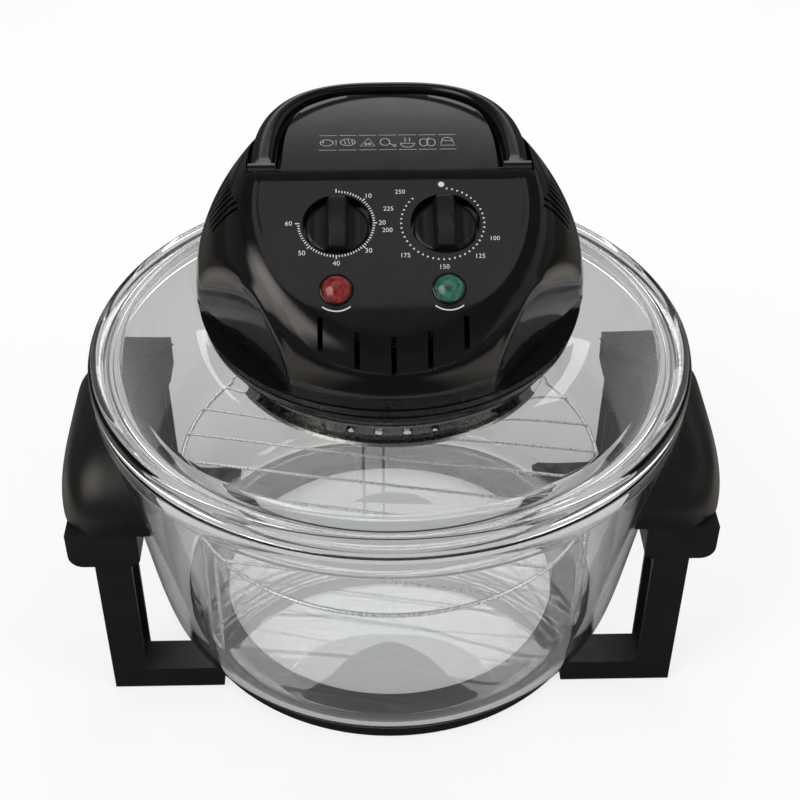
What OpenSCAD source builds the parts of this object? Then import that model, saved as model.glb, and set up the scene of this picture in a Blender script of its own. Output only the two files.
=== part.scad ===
// Halogen oven: a glass bowl in a plastic stand, a wire rack, and a glass lid that carries the
// control head with its ring lamp, fans, timer and thermostat.
// Millimetres, +Z up, front towards -Y. The origin is on the table under the middle of the bowl.

/* [Bowl] */
// Radius of the glass rim
rim_r = 170; // [169:0.5:171]
// Height of the bowl's rim above the table
rim_z = 183; // [182.5:0.5:183.5]
// Thickness of the glass
glass_t = 5; // [4:0.5:5.5]
// Height of the bowl's flat underside
bowl_z = 10.5; // [10:0.5:11]

/* [Stand] */
// Outer radius of the base ring
ring_r = 131; // [128:1:133]
// Width of the base ring
ring_w = 26; // [22:1:28]
// Thickness of the moulded walls
wall_t = 3; // [2.5:0.5:3]
// Height of the rubber feet below the plastic
foot_h = 1.5; // [1:0.5:2]
// Height of the four arms
arm_top = 17; // [16:0.5:18]
// Middle of each post, left to right
post_x = 156; // [155:0.5:157]
// Middle of each post, front to back
post_y = 80; // [78:1:82]
// Underside of the rail across each pair of posts
rail_z = 103; // [100:1:105]
// Top of the rail, where the ear sits
ear_z = 127; // [126:1:128]
// Reach of the ear past the posts
ear_reach = 41; // [38:1:42]
// Space kept round the bowl
bowl_gap = 1.2; // [1:0.1:1.4]

/* [Rack] */
// Radius of the rack's ring
rack_r = 125.8; // [120:0.2:128]
// Height of the rack's ring
rack_z = 101; // [98:1:103]
// Thickness of the ring wire
ring_wire = 2.4; // [2.2:0.1:2.8]
// Thickness of the cross wires
cross_wire = 1.7; // [1.5:0.1:2]
// Number of cross wires
cross_count = 9; // [7:1:11]
// How far the rack is turned in the bowl
rack_turn = -11; // [-15:1:15]

/* [Lid and lamp] */
// Top of the flat middle of the lid glass
lid_top = 211; // [210.5:0.5:211]
// Radius of the hole in the lid glass
lid_hole_r = 86; // [85:0.5:87]
// Outer radius of the guard's rolled rim
guard_r = 91; // [90:0.5:92]
// Height of the guard's underside
guard_z = 186; // [185.5:0.5:187]
// Radius of the round holes in the guard
hole_r = 3.3; // [2.8:0.1:3.5]
// Radius of the ring lamp
lamp_r = 62; // [60:1:64]

/* [Head] */
// Widest radius of the head
head_r = 106; // [105:0.5:107]
// Height of the widest line, where the shell sits on its base
head_z = 232; // [231:0.5:233]
// Slope of the control face
face_slope = 25; // [24:0.5:26]
// Slope of the front apron with the lamps and slots
apron_slope = 35; // [34:0.5:36]
// Slope of the top deck
deck_slope = 5; // [4:0.5:6]
// Thickness of the head's walls
shell_t = 2.6; // [2.2:0.1:3]
// Sideways place of the two knobs
knob_x = 27.3; // [26:0.1:28]
// Radius of the knob wells
well_r = 17.7; // [17:0.1:18]
// Depth of the knob wells
well_d = 7; // [6:0.5:8]
// Radius of the indicator lenses
lens_r = 8.2; // [7.5:0.1:8.5]

/* [Handle] */
// Half width of the folded handle
handle_x = 71; // [70:0.5:71.5]
// Width of its arms
handle_w = 13; // [12:0.5:13]
// Thickness of the handle
handle_t = 12; // [11:0.5:12.5]
// Radius of the pivot pins
pin_r = 3; // [2.5:0.1:3.2]

/* [Hidden] */
$fn = 96;
run_gap = 0.05;      // radial clearance of a turning fit
big = 400;           // larger than the whole head

// Places on the head, all on its middle line: where the apron, face and deck planes meet
fold_y = -62.9;
fold_z = 283.1;
brow_y = -13.4;
brow_z = fold_z + (brow_y - fold_y) * tan(face_slope);
panel_t = 2.4;
deck_half = 56;      // half width of the raised deck
deck_back = 62;      // rear edge of the raised deck
deck_power = 4;      // how square its corners are
recess_half = 73;    // half width of the recess round it, where the folded handle lies
recess_back = 80;
recess_power = 2.9;
recess_d = 14.2;     // depth of the recess below the deck
pivot_y = -3;
pivot_z = brow_z + (pivot_y - brow_y) * tan(deck_slope) - 7.2;
knob_y = -40.5;
lens_x = 27.9;
lens_y = -73.3;
motor_z = 231;
shaft_r = 2.5;
boss_place = head_r - 9;
boss_turns = [45, 135, 250, 290];
pocket_turn = 37;    // where the hollow in each front cheek looks, from the side
pocket_r = head_r - 10.7;
pocket_lean = 14;
groove_drop = 2.2;   // the console's groove, below its faces
groove_w = 1.3;
inlet_z = 246;
inlet_y = 104;

// ---- curves -------------------------------------------------------------------------------

// One point of a smooth curve through b and c, with a and d as its neighbours
function between(a, b, c, d, t) =
    0.5 * (2 * b + (c - a) * t + (2 * a - 5 * b + 4 * c - d) * t * t
           + (3 * b - a - 3 * c + d) * t * t * t);

// A smooth curve through a short list of points, with n steps from one to the next
function smooth(p, n = 5) = concat(
    [for (i = [0 : len(p) - 2]) for (k = [0 : n - 1])
        between(p[max(i - 1, 0)], p[i], p[i + 1], p[min(i + 2, len(p) - 1)], k / n)],
    [p[len(p) - 1]]);

// The left-hand normal of a curve at its point i
function normal_at(p, i) =
    let (d = p[min(i + 1, len(p) - 1)] - p[max(i - 1, 0)]) [-d[1], d[0]] / norm(d);

// The same curve moved sideways by d
function beside(p, d) = [for (i = [0 : len(p) - 1]) p[i] + d * normal_at(p, i)];

function reverse(p) = [for (i = [len(p) - 1 : -1 : 0]) p[i]];
function part_of(p, first, last) = [for (i = [first : last]) p[i]];

// A power that keeps its sign, for squared-off ovals
function spow(v, e) = sign(v) * pow(abs(v), e);

// Solid through a list of rings of equal length, closed by a cap at each end. Seen from the last
// ring, the points of each ring run anticlockwise.
module loft(rings) {
    n = len(rings[0]);
    m = len(rings);
    polyhedron(
        points = [for (ring = rings) for (p = ring) p],
        faces = concat(
            [[for (i = [0 : n - 1]) i]],
            [[for (i = [n - 1 : -1 : 0]) (m - 1) * n + i]],
            [for (j = [0 : m - 2]) for (i = [0 : n - 1]) each let (k = (i + 1) % n) [
                [j * n + i, (j + 1) * n + k, j * n + k],
                [j * n + i, (j + 1) * n + i, (j + 1) * n + k]]]),
        convexity = 6);
}

// Copies at the left and right, and at all four posts
module both_sides() {
    children();
    mirror([1, 0, 0]) children();
}
module four_corners() {
    both_sides() {
        children();
        mirror([0, 1, 0]) children();
    }
}

// ---- bowl ---------------------------------------------------------------------------------

bowl_flat_r = 124;
bowl_curve = smooth([
    [bowl_flat_r, bowl_z], [134, bowl_z + 3], [141.7, bowl_z + 12.5], [147, 45],
    [152.5, 80], [160, 130], [165.5, rim_z - 15]]);
bowl_inner = part_of(beside(bowl_curve, glass_t), 3, len(bowl_curve) - 1);

module glass_bowl() color([0.82, 0.9, 0.88, 0.4]) rotate_extrude($fn = 180) polygon(concat(
    [[0, bowl_z]], bowl_curve,
    [[rim_r - 1.2, rim_z - 12], [rim_r - 0.5, rim_z - 10], [rim_r - 0.5, rim_z - 1.5],
     [rim_r - 2, rim_z], [rim_r - 7.5, rim_z], [rim_r - 8.5, rim_z - 7]],
    reverse(bowl_inner),
    [[bowl_flat_r - 1, bowl_z + glass_t], [0, bowl_z + glass_t]]));

// The space that the bowl takes, grown by a gap, from the ring's top up past the rim
module bowl_space(gap) rotate_extrude($fn = 180) polygon(concat(
    [[0, bowl_z - 0.5], [bowl_flat_r + 1, bowl_z - 0.5]],
    part_of(beside(bowl_curve, -gap), 2, len(bowl_curve) - 1),
    [[166.5 + gap, rim_z + 20], [0, rim_z + 20]]));

// ---- stand --------------------------------------------------------------------------------

ring_top = bowl_z - 0.5;
arm_w = 22;
post_w = 20;
tenon = [12, 12, 12];
pad_r = 6;
pad_place = ring_r - 13;
foot_r = 7;
foot_x = 137;

module base_ring() color([0.09, 0.09, 0.1]) difference() {
    union() {
        rotate_extrude($fn = 180) difference() {
            polygon([[ring_r - ring_w, foot_h], [ring_r, foot_h], [ring_r, ring_top - 1.5],
                     [ring_r - 1.5, ring_top], [ring_r - ring_w + 1.5, ring_top],
                     [ring_r - ring_w, ring_top - 1.5]]);
            translate([ring_r - ring_w + wall_t, 0])
                square([ring_w - 2 * wall_t, ring_top - wall_t]);
        }
        for (a = [15 : 30 : 345]) rotate(a)
            translate([ring_r - ring_w + 1, -1, foot_h])
                cube([ring_w - 2, 2, ring_top - foot_h - 1]);
        for (a = [45 : 90 : 315]) rotate(a)
            translate([pad_place, 0, foot_h]) cylinder(r = pad_r + 2, h = ring_top - foot_h);
        difference() {
            four_corners() arm();
            bowl_space(0.8);
        }
    }
    for (a = [45 : 90 : 315]) rotate(a)
        translate([pad_place, 0, ring_top - 1]) cylinder(r = pad_r, h = 2);
}

module arm() {
    reach = post_x + post_w / 2;
    start = ring_r - ring_w - 4;
    difference() {
        translate([start, post_y - arm_w / 2, foot_h]) cube([reach - start, arm_w, arm_top - foot_h]);
        translate([ring_r - 14, post_y - arm_w / 2 + wall_t, 0])
            cube([foot_x - 8 - ring_r + 14, arm_w - 2 * wall_t, ring_top - wall_t]);
        translate([foot_x + 9, post_y - arm_w / 2 + wall_t, 0])
            cube([reach - wall_t - foot_x - 9, arm_w - 2 * wall_t, 5]);
        translate([foot_x, post_y, 0]) cylinder(r = foot_r, h = 2 * foot_h);
        translate([post_x, post_y, 5]) hole_for(tenon + [0.3, 0.3, 20]);
    }
}

// Four-sided hole or block that stands on the XY plane
module hole_for(size) translate([-size[0] / 2, -size[1] / 2, 0]) cube(size);

module rubber_feet() color([0.05, 0.05, 0.05])
    four_corners() translate([foot_x, post_y, 0]) cylinder(r = foot_r, h = 2 * foot_h);

module bowl_pads() color([0.25, 0.25, 0.25])
    for (a = [45 : 90 : 315]) rotate(a)
        translate([pad_place, 0, ring_top - 1]) cylinder(r = pad_r, h = bowl_z - ring_top + 1);

// Outline of the rail seen from the front: square inside, rounded at the outer lower corner
rail_out = post_x + 24;
rail_in = post_x - 15.5;
function rail_outline() = concat(
    [[rail_in, ear_z], [rail_in, rail_z + 4], [rail_in + 4, rail_z]],
    [for (a = [-90 : 15 : 0]) [rail_out - 8 + 8 * cos(a), rail_z + 8 + 8 * sin(a)]],
    [[rail_out, ear_z]]);

// One side of the stand: two posts with their tenons, and the rail across them
module support() difference() {
    union() {
        translate([0, post_y + arm_w / 2, 0]) rotate([90, 0, 0])
            linear_extrude(2 * post_y + arm_w) polygon(rail_outline());
        for (y = [-post_y, post_y]) translate([post_x, y, 0]) {
            translate([0, 0, arm_top]) hole_for([post_w, arm_w, rail_z - arm_top + 1]);
            translate([0, 0, 5]) hole_for(tenon + [0, 0, 10]);
        }
    }
    // the posts are channels, open towards the bowl
    for (y = [-post_y, post_y]) translate([post_x - wall_t, y, arm_top + 6])
        hole_for([post_w, arm_w - 2 * wall_t, rail_z - arm_top - 12]);
    // finger recess under the rail
    translate([post_x + 14, -8, rail_z - 1]) hole_for([13, 108, 16]);
    for (y = [-post_y, post_y]) translate([post_x, y, 4]) cylinder(r = 1.8, h = 11);
    for (y = ear_screw_y) translate([screw_x, y, rail_z - 1]) cylinder(r = 1.8, h = 40);
    bowl_space(bowl_gap);
}
screw_x = 171;
ear_screw_y = [-70, 56];

module left_support() color([0.08, 0.08, 0.09]) mirror([1, 0, 0]) support();
module right_support() color([0.08, 0.08, 0.09]) support();

// Outline of the ear at height share t, with its skin drawn in by inset. It is full at the front
// and slopes down to the back.
ear_h = 46;
function ear_ring(t, inset) =
    let (s = pow(1 - pow(t, 2.3), 1 / 2.3),
         front = 92 * s - inset,
         back = 84 * pow(1 - t, 1.3) - inset,
         z = ear_z + t * ear_h - (t > 0 ? inset : 0))
    concat(
        [for (a = [-90 : 10 : 90])
            [post_x - 10 + (ear_reach * s - inset) * pow(cos(a), 0.5),
             (a < 0 ? front : back) * spow(sin(a), 0.5), z]],
        [[rail_in - 8, back, z], [rail_in - 8, -front, z]]);

module ear() difference() {
    loft([for (t = [0, 0.1, 0.22, 0.34, 0.46, 0.57, 0.67, 0.76, 0.84]) ear_ring(t, 0)]);
    difference() {
        translate([0, 0, -0.01])
            loft([for (t = [0, 0.22, 0.46, 0.67, 0.78]) ear_ring(t, wall_t)]);
        bowl_space(bowl_gap + wall_t);
        for (y = ear_screw_y) translate([screw_x, y, ear_z - 1]) cylinder(r = 5, h = 40);
    }
    for (y = ear_screw_y) translate([screw_x, y, ear_z - 1]) cylinder(r = 1.8, h = 10);
    bowl_space(bowl_gap);
}
module left_ear() color([0.05, 0.05, 0.055]) mirror([1, 0, 0]) ear();
module right_ear() color([0.05, 0.05, 0.055]) ear();

// Round-headed screw standing on the XY plane with its shank upwards
module screw(head_r, head_h, shank_r, shank_h) {
    cylinder(r = head_r, h = head_h);
    translate([0, 0, head_h - 0.01]) cylinder(r = shank_r, h = shank_h);
}
module support_screws() color([0.6, 0.6, 0.62])
    four_corners() translate([post_x, post_y, 3]) screw(3.4, 2, 1.7, 9);
module ear_screws() color([0.6, 0.6, 0.62])
    both_sides() for (y = ear_screw_y) translate([screw_x, y, rail_z - 2]) screw(3.4, 2, 1.7, 31);

// ---- rack ---------------------------------------------------------------------------------

module wire(from, to, r) {
    d = to - from;
    translate(from)
        rotate([0, acos(d[2] / norm(d)), atan2(d[1], d[0])]) cylinder(r = r, h = norm(d), $fn = 16);
}

// A leg: a wire loop that hangs from the ring, stands on the bowl's floor and has round corners
module leg_loop(half_w, top, foot, corner, r) {
    for (s = [-1, 1]) {
        wire([s * half_w, 0, foot + corner], [s * half_w, 0, top], r);
        translate([s * (half_w - corner), 0, foot + corner]) rotate([90, 0, 0])
            rotate(s > 0 ? -90 : 180) rotate_extrude(angle = 90, $fn = 48)
                translate([corner, 0]) circle(r = r, $fn = 16);
    }
    wire([corner - half_w, 0, foot], [half_w - corner, 0, foot], r);
}

leg_x = 7;
leg_wire = 2;
leg_foot = bowl_z + glass_t + leg_wire / 2 + 0.85;   // the bowl's floor already rises there
module wire_rack() color([0.75, 0.76, 0.78]) rotate(rack_turn) {
    translate([0, 0, rack_z]) rotate_extrude($fn = 120)
        translate([rack_r, 0]) circle(r = ring_wire / 2, $fn = 20);
    spacing = 2 * rack_r / (cross_count + 1);
    for (i = [1 : cross_count]) {
        y = i * spacing - rack_r;
        x = sqrt(rack_r * rack_r - y * y) + 0.35;
        z = rack_z + ring_wire / 2 + cross_wire / 2 - 0.5;
        wire([-x, y, z], [x, y, z], cross_wire / 2);
    }
    for (a = [0 : 120 : 240]) rotate(a + 75)
        translate([0, -sqrt(rack_r * rack_r - leg_x * leg_x), 0])
            leg_loop(leg_x, rack_z + 0.2, leg_foot, 5, leg_wire / 2);
}

// ---- lid and lamp -------------------------------------------------------------------------

lid_t = 4.5;
function lid_z(r) = lid_top - 18.4 * pow(max(0, (r - 104) / 56), 1.5);

module glass_lid() color([0.82, 0.9, 0.88, 0.4]) rotate_extrude($fn = 180) polygon(concat(
    [[156, rim_z - 5], [159.5, rim_z - 5], [160.5, rim_z], [rim_r - 1, rim_z],
     [rim_r, rim_z + 1.5], [rim_r, rim_z + 7], [rim_r - 1, rim_z + 10], [rim_r - 4, rim_z + 12],
     [rim_r - 7, rim_z + 11.3]],
    [for (r = [160 : -7 : 104]) [r, lid_z(r)]],
    [[lid_hole_r, lid_top], [lid_hole_r, lid_top - lid_t]],
    [for (r = [104 : 7 : 153]) [r, lid_z(r) - lid_t]]));

under_glass = lid_top - lid_t;
gasket_t = 1;
plate_t = 1.5;
clamp_z = under_glass - gasket_t - plate_t;
screw_ring = 79;

module upper_gasket() color([0.5, 0.2, 0.15])
    translate([0, 0, lid_top]) flat_ring(87, 100, gasket_t);
module lower_gasket() color([0.5, 0.2, 0.15])
    translate([0, 0, under_glass - gasket_t]) flat_ring(87, 97, gasket_t);

module flat_ring(inner, outer, h) linear_extrude(h) difference() {
    circle(r = outer);
    circle(r = inner);
}

// Steel ring that the screws pull up against the glass
module clamp_ring() color([0.7, 0.71, 0.73]) difference() {
    translate([0, 0, clamp_z]) flat_ring(72, 98, plate_t);
    for (a = [0 : 60 : 300]) rotate(a) translate([screw_ring, 0, clamp_z - 1]) cylinder(r = 1.8, h = 4);
}
module clamp_screws() color([0.6, 0.6, 0.62])
    for (a = [0 : 60 : 300]) rotate(a)
        translate([screw_ring, 0, clamp_z - 2]) screw(3.4, 2, 1.7, 15);

// Perforated steel cup round the lamp, with a rolled rim and a pierced floor
guard_wall_r = 86;
module lamp_guard() color([0.72, 0.73, 0.75]) difference() {
    rotate_extrude($fn = 180) {
        polygon([[0, guard_z + 1], [guard_wall_r - 1, guard_z + 1], [guard_r - 3, guard_z],
                 [guard_r - 1.4, guard_z + 0.2], [guard_r, guard_z + 1.4],
                 [guard_r - 1.4, guard_z + 2.6], [guard_wall_r + 0.2, guard_z + 2.6],
                 [guard_wall_r, guard_z + 4], [guard_wall_r, clamp_z], [guard_wall_r - 3, clamp_z],
                 [guard_wall_r - 3, clamp_z - 1], [guard_wall_r - 1, clamp_z - 1],
                 [guard_wall_r - 1, guard_z + 2], [0, guard_z + 2]]);
    }
    for (a = [5 : 10 : 355]) rotate(a)
        translate([guard_wall_r - 3, 0, guard_z + 8.5]) rotate([0, 90, 0]) cylinder(r = hole_r, h = 6);
    for (a = [5 : 10 : 355]) rotate(a) translate([70, -3.5, guard_z - 1]) cube([13, 7, 5]);
    for (ring = [1 : 4]) for (k = [0 : 6 * ring - 1]) rotate(360 / (6 * ring) * k)
        translate([14 * ring, 0, guard_z - 1]) cylinder(r = hole_r, h = 5);
}

// Pressed aluminium pan above the lamp, which throws the heat down
pan_z = clamp_z - 2.2;
module reflector() color([0.85, 0.86, 0.87]) difference() {
    rotate_extrude($fn = 120) polygon([
        [6, pan_z - 1], [30, pan_z - 1], [34, pan_z - 3], [44, pan_z - 3], [50, pan_z - 1],
        [72, pan_z - 1], [74, clamp_z - 1], [82, clamp_z - 1], [82, clamp_z], [73, clamp_z],
        [71, pan_z], [49.6, pan_z], [43.6, pan_z - 2], [34.4, pan_z - 2], [30.4, pan_z], [6, pan_z]]);
    for (a = [0 : 60 : 300]) rotate(a) translate([screw_ring, 0, clamp_z - 2]) cylinder(r = 3.4, h = 4);
}

// Quartz ring, open at the back, with its pinched ends in ceramic holders
lamp_z = guard_z + 7.4;
lamp_tube = 4.5;
module ring_lamp() color([0.9, 0.85, 0.75]) translate([0, 0, lamp_z]) rotate(100)
    rotate_extrude(angle = 340, $fn = 120) translate([lamp_r, 0]) circle(r = lamp_tube, $fn = 32);
module lamp_holders() color([0.92, 0.9, 0.84]) difference() {
    for (a = [-8.5, 8.5]) rotate(a + 90)
        translate([lamp_r - 6, -3, lamp_z - 5]) cube([12, 6, pan_z - 1 - lamp_z + 5]);
    ring_lamp();
}

// ---- head ---------------------------------------------------------------------------------

foot_z = lid_top + gasket_t;
function head_width(z) = z >= head_z
    ? head_r * (1 - pow((z - head_z) / 136, 2.05))
    : head_r - 4.3 * pow((head_z - z) / (head_z - foot_z), 1.6);

// Everything below a plane that climbs towards the back, through one point of the middle line
module below(y, z, slope, drop = 0)
    translate([0, y, z]) rotate([slope, 0, 0])
        translate([-big / 2, -big / 2, -big - drop]) cube([big, big, big]);

module dome(inset) rotate_extrude($fn = 180) polygon(concat(
    [[0, foot_z - 1], [head_width(foot_z) - inset, foot_z - 1]],
    [for (z = [foot_z : 4 : head_z]) [head_width(z) - inset, z]],
    [for (z = [head_z + 4 : 4 : head_z + 84]) [head_width(z) - inset, z]],
    [[0, head_z + 84]]));

// Squared-off oval that starts at the brow line and runs back, closed by a straight front edge
function arch(half_w, back, power, steps = 10) =
    [for (i = [0 : 2 * steps]) let (a = i * 90 / steps)
        [half_w * spow(cos(a), 2 / power), brow_y + (back - brow_y) * pow(abs(sin(a)), 2 / power)]];

module arch_area(half_w, back, power, front = brow_y)
    polygon(front == brow_y ? arch(half_w, back, power)
        : concat([[half_w, front]], arch(half_w, back, power), [[-half_w, front]]));

module below_console(drop) intersection() {
    below(fold_y, fold_z, apron_slope, drop);
    below(fold_y, fold_z, face_slope, drop);
    below(brow_y, brow_z, deck_slope, drop);
}

// Flat, undercut hollows in the two front cheeks
module pockets(inset) both_sides() rotate(-pocket_turn)
    translate([pocket_r - inset, 0, head_z + 4 - inset]) rotate([0, pocket_lean, 0])
        translate([0, -big / 2, 0]) cube([big, big, 60]);

// The housing's outside, without openings; drop and inset shrink it to its hollow
module head_form(drop, inset) difference() {
    intersection() {
        dome(inset);
        below_console(drop);
    }
    pockets(inset);
}

// Groove in the dome that follows the console's outline from one side of the brow to the other
module console_groove() difference() {
    intersection() {
        dome(-1);
        below_console(groove_drop);
        translate([-big / 2, -big, head_z]) cube([big, big + brow_y, big]);
    }
    below_console(groove_drop + groove_w);
    dome(groove_w);
}

// The recess behind the brow: the raised deck stands in it, with the folded handle round it
module rear_recess(grow) difference() {
    translate([0, 0, head_z]) linear_extrude(120)
        arch_area(recess_half + grow, recess_back + grow, recess_power, brow_y - grow);
    below(brow_y, brow_z, deck_slope, recess_d + grow);
}

// The raised deck's block, down to the floor of the recess
module deck_block(inset, drop, front) intersection() {
    below(brow_y, brow_z, deck_slope, drop);
    below(fold_y, fold_z, face_slope, 0);
    difference() {
        translate([0, 0, head_z]) linear_extrude(120)
            arch_area(deck_half - inset, deck_back - inset, deck_power, front);
        below(brow_y, brow_z, deck_slope, recess_d + (inset > 0 ? 1 : 0));
    }
}

// A frame that carries the deck's half of the control panel and the handle's two pins
module raised_deck() color([0.06, 0.06, 0.065]) difference() {
    union() {
        difference() {
            deck_block(0, 0, brow_y);
            deck_block(shell_t, panel_t + shell_t, brow_y - 1);
        }
        both_sides() translate([50, pivot_y, pivot_z]) rotate([0, 90, 0]) cylinder(r = 6, h = 5);
    }
    panel_form(0.1, 0.3);
    both_sides() translate([40, pivot_y, pivot_z]) rotate([0, 90, 0]) cylinder(r = pin_r, h = 20);
}

module knob_place(s) translate([s * knob_x, knob_y, fold_z + (knob_y - fold_y) * tan(face_slope)])
    rotate([face_slope, 0, 0]) children();
module lens_place(s) translate([s * lens_x, lens_y, fold_z + (lens_y - fold_y) * tan(apron_slope)])
    rotate([apron_slope, 0, 0]) children();

// Tray under the head: it carries the motor and closes the housing from below
module head_base() color([0.07, 0.07, 0.075]) difference() {
    union() {
        difference() {
            intersection() {
                dome(0);
                translate([0, 0, foot_z]) cylinder(r = big / 2, h = head_z - foot_z);
            }
            intersection() {
                dome(shell_t);
                translate([0, 0, foot_z + shell_t]) cylinder(r = big / 2, h = head_z);
            }
        }
        for (x = [-50, 50]) for (y = [-16, 16])
            translate([x, y, foot_z + 1]) cylinder(r = 4, h = motor_z - foot_z - 1);
        for (a = [0 : 60 : 300]) rotate(a)
            translate([screw_ring, 0, foot_z + 1]) cylinder(r = 4, h = 7);
        for (a = boss_turns) rotate(a)
            translate([boss_place, 0, foot_z + 1]) cylinder(r = 4.5, h = head_z - foot_z - 1);
    }
    translate([0, 0, foot_z - 1]) cylinder(r = 7, h = 10);
    for (a = [0 : 60 : 300]) rotate(a)
        translate([screw_ring, 0, foot_z - 1]) cylinder(r = 1.8, h = 8);
    for (x = [-50, 50]) for (y = [-16, 16])
        translate([x, y, motor_z - 8]) cylinder(r = 1.8, h = 9);
    for (a = boss_turns) rotate(a) translate([boss_place, 0, foot_z - 1]) {
        cylinder(r = 3.6, h = 3.2);
        cylinder(r = 1.8, h = 30);
    }
    // two grooves round the outside
    for (z = [foot_z + 6, foot_z + 12]) translate([0, 0, z]) rotate_extrude($fn = 180)
        translate([head_width(z) - 1, 0]) square([3, 1.6]);
}

module head_shell() color([0.06, 0.06, 0.065]) difference() {
    union() {
        difference() {
            union() {
                difference() {
                    head_form(0, 0);
                    rear_recess(0);
                }
                // flat seat for the inlet at the back
                translate([-19, 70, inlet_z - 15]) cube([38, inlet_y - 70, 30]);
            }
            translate([0, 0, -0.01]) difference() {
                head_form(panel_t + shell_t, shell_t);
                rear_recess(shell_t);
            }
        }
        // bosses for the screws that hold the base
        for (a = boss_turns) rotate(a) translate([boss_place, 0, head_z]) {
            cylinder(r = 4, h = 16);
            translate([0, -1, 0]) cube([head_r - boss_place - 2, 2, 12]);
        }
    }
    // everything below the joint with the base
    translate([0, 0, head_z - 60]) cylinder(r = big / 2, h = 60);
    // seat for the control panel
    panel_form(0.1, 0.3);
    for (s = [-1, 1]) {
        knob_place(s) translate([0, 0, -30]) cylinder(r = well_r + 2.3, h = 40);
        lens_place(s) translate([0, 0, -12]) cylinder(r = lens_r - 1.6, h = 30);
        lens_place(s) translate([0, 0, -1]) cylinder(r = lens_r + 0.1, h = 10);
    }
    console_groove();
    // five upright slots in the apron
    for (i = [-2 : 2]) translate([18 * i - 1.3, lens_y - 46, head_z + 15 + 2.1 * i * i])
        cube([2.6, 46, 14.5 - 0.6 * i * i]);
    // slanted louvres in both cheeks
    both_sides() for (i = [0 : 9]) translate([60, -27 + 7 * i, 277 - 0.4 * i])
        rotate([35, 0, 0]) translate([0, -1.2, -11]) cube([60, 2.4, 20]);
    // outlet slots at the back
    for (i = [-4 : 4]) rotate(i * 7 + 90) translate([70, -1.2, inlet_z + 20]) cube([60, 2.4, 18]);
    for (a = boss_turns) rotate(a)
        translate([boss_place, 0, head_z - 1]) cylinder(r = 1.8, h = 14);
    translate([-13.1, 60, inlet_z - 9.1]) cube([26.2, 60, 18.2]);
    translate([-19, inlet_y, inlet_z - 15]) cube([38, 10, 30]);
}

// The satin fascia: it covers the control face and the raised deck in one piece
module panel_form(grow, sink) {
    // on the control face
    intersection() {
        difference() {
            below(fold_y, fold_z, face_slope, 0);
            below(fold_y, fold_z, face_slope, panel_t + sink);
        }
        below(brow_y, brow_z, deck_slope, 0);
        dome(7 - grow);
        translate([-big / 2, fold_y + 1.5 - grow, head_z])
            cube([big, brow_y - fold_y - 1.5 + grow, 120]);
    }
    // on the raised deck
    intersection() {
        difference() {
            below(brow_y, brow_z, deck_slope, 0);
            below(brow_y, brow_z, deck_slope, panel_t + sink);
        }
        below(fold_y, fold_z, face_slope, 0);
        translate([0, 0, head_z]) linear_extrude(120) union() {
            arch_area(deck_half - 1.5 + grow, deck_back - 1.5 + grow, deck_power);
            translate([-54, brow_y - 6]) square([108, 12]);
        }
    }
}

module control_panel() color([0.16, 0.16, 0.17]) difference() {
    union() {
        panel_form(0, 0);
        for (s = [-1, 1]) knob_place(s) translate([0, 0, -well_d - 2])
            cylinder(r = well_r + 2, h = well_d + 1.5);
    }
    for (s = [-1, 1]) knob_place(s) {
        translate([0, 0, -well_d]) cylinder(r = well_r, h = well_d + 10);
        translate([0, 0, -well_d - 4]) cylinder(r = 4.2, h = 6);
    }
}

// Screws that come up through the base's pillars into the shell
module head_screws() color([0.6, 0.6, 0.62]) for (a = boss_turns) rotate(a)
    translate([boss_place, 0, foot_z + 0.2]) screw(3.4, 2, 1.7, head_z - foot_z + 9);

module lens() {
    rotate_extrude($fn = 48) polygon(concat(
        [[0, -1], [lens_r, -1], [lens_r, 0]],
        [for (a = [0 : 15 : 75]) [lens_r * cos(a), 5 * sin(a)]], [[0, 5]]));
    translate([0, 0, -6]) cylinder(r = lens_r - 1.7, h = 5.5);
}
module power_lens() color([0.7, 0.08, 0.08]) lens_place(-1) lens();
module heat_lens() color([0.05, 0.35, 0.25]) lens_place(1) lens();
module lamp_bodies() color([0.85, 0.85, 0.82]) for (s = [-1, 1]) lens_place(s) {
    translate([0, 0, -11]) cylinder(r = 7.5, h = 5);
    translate([0, 0, -22]) cylinder(r = 4, h = 11.5);
}

// ---- inside the head ----------------------------------------------------------------------

under_well = -well_d - 2;
spindle_r = 3;
module timer_unit() color([0.75, 0.75, 0.7]) knob_place(-1) difference() {
    union() {
        translate([0, 0, under_well - 22]) cylinder(r = 19, h = 20);
        translate([-14, -14, under_well - 2.01]) cube([28, 28, 2.01]);
        translate([-4, -23, under_well - 16]) cube([8, 5, 4]);
    }
    translate([0, 0, under_well - 14]) cylinder(r = spindle_r + run_gap, h = 20);
}
module thermostat() color([0.8, 0.78, 0.7]) knob_place(1) difference() {
    union() {
        translate([-15, -17, under_well - 18]) cube([30, 34, 16]);
        translate([-12, -12, under_well - 2.01]) cube([24, 24, 2.01]);
        translate([-3, 17, under_well - 14]) cube([6, 5, 3]);
    }
    translate([0, 0, under_well - 14]) cylinder(r = spindle_r + run_gap, h = 20);
}

// Turning spindle with a flat on its upper end
module spindle() difference() {
    translate([0, 0, under_well - 13.5]) cylinder(r = spindle_r, h = 20.5);
    translate([-5, 1.8, -well_d + 0.4]) cube([10, 5, 10]);
}
module timer_shaft() color([0.7, 0.7, 0.7]) knob_place(-1) spindle();
module temp_shaft() color([0.7, 0.7, 0.7]) knob_place(1) spindle();

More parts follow.
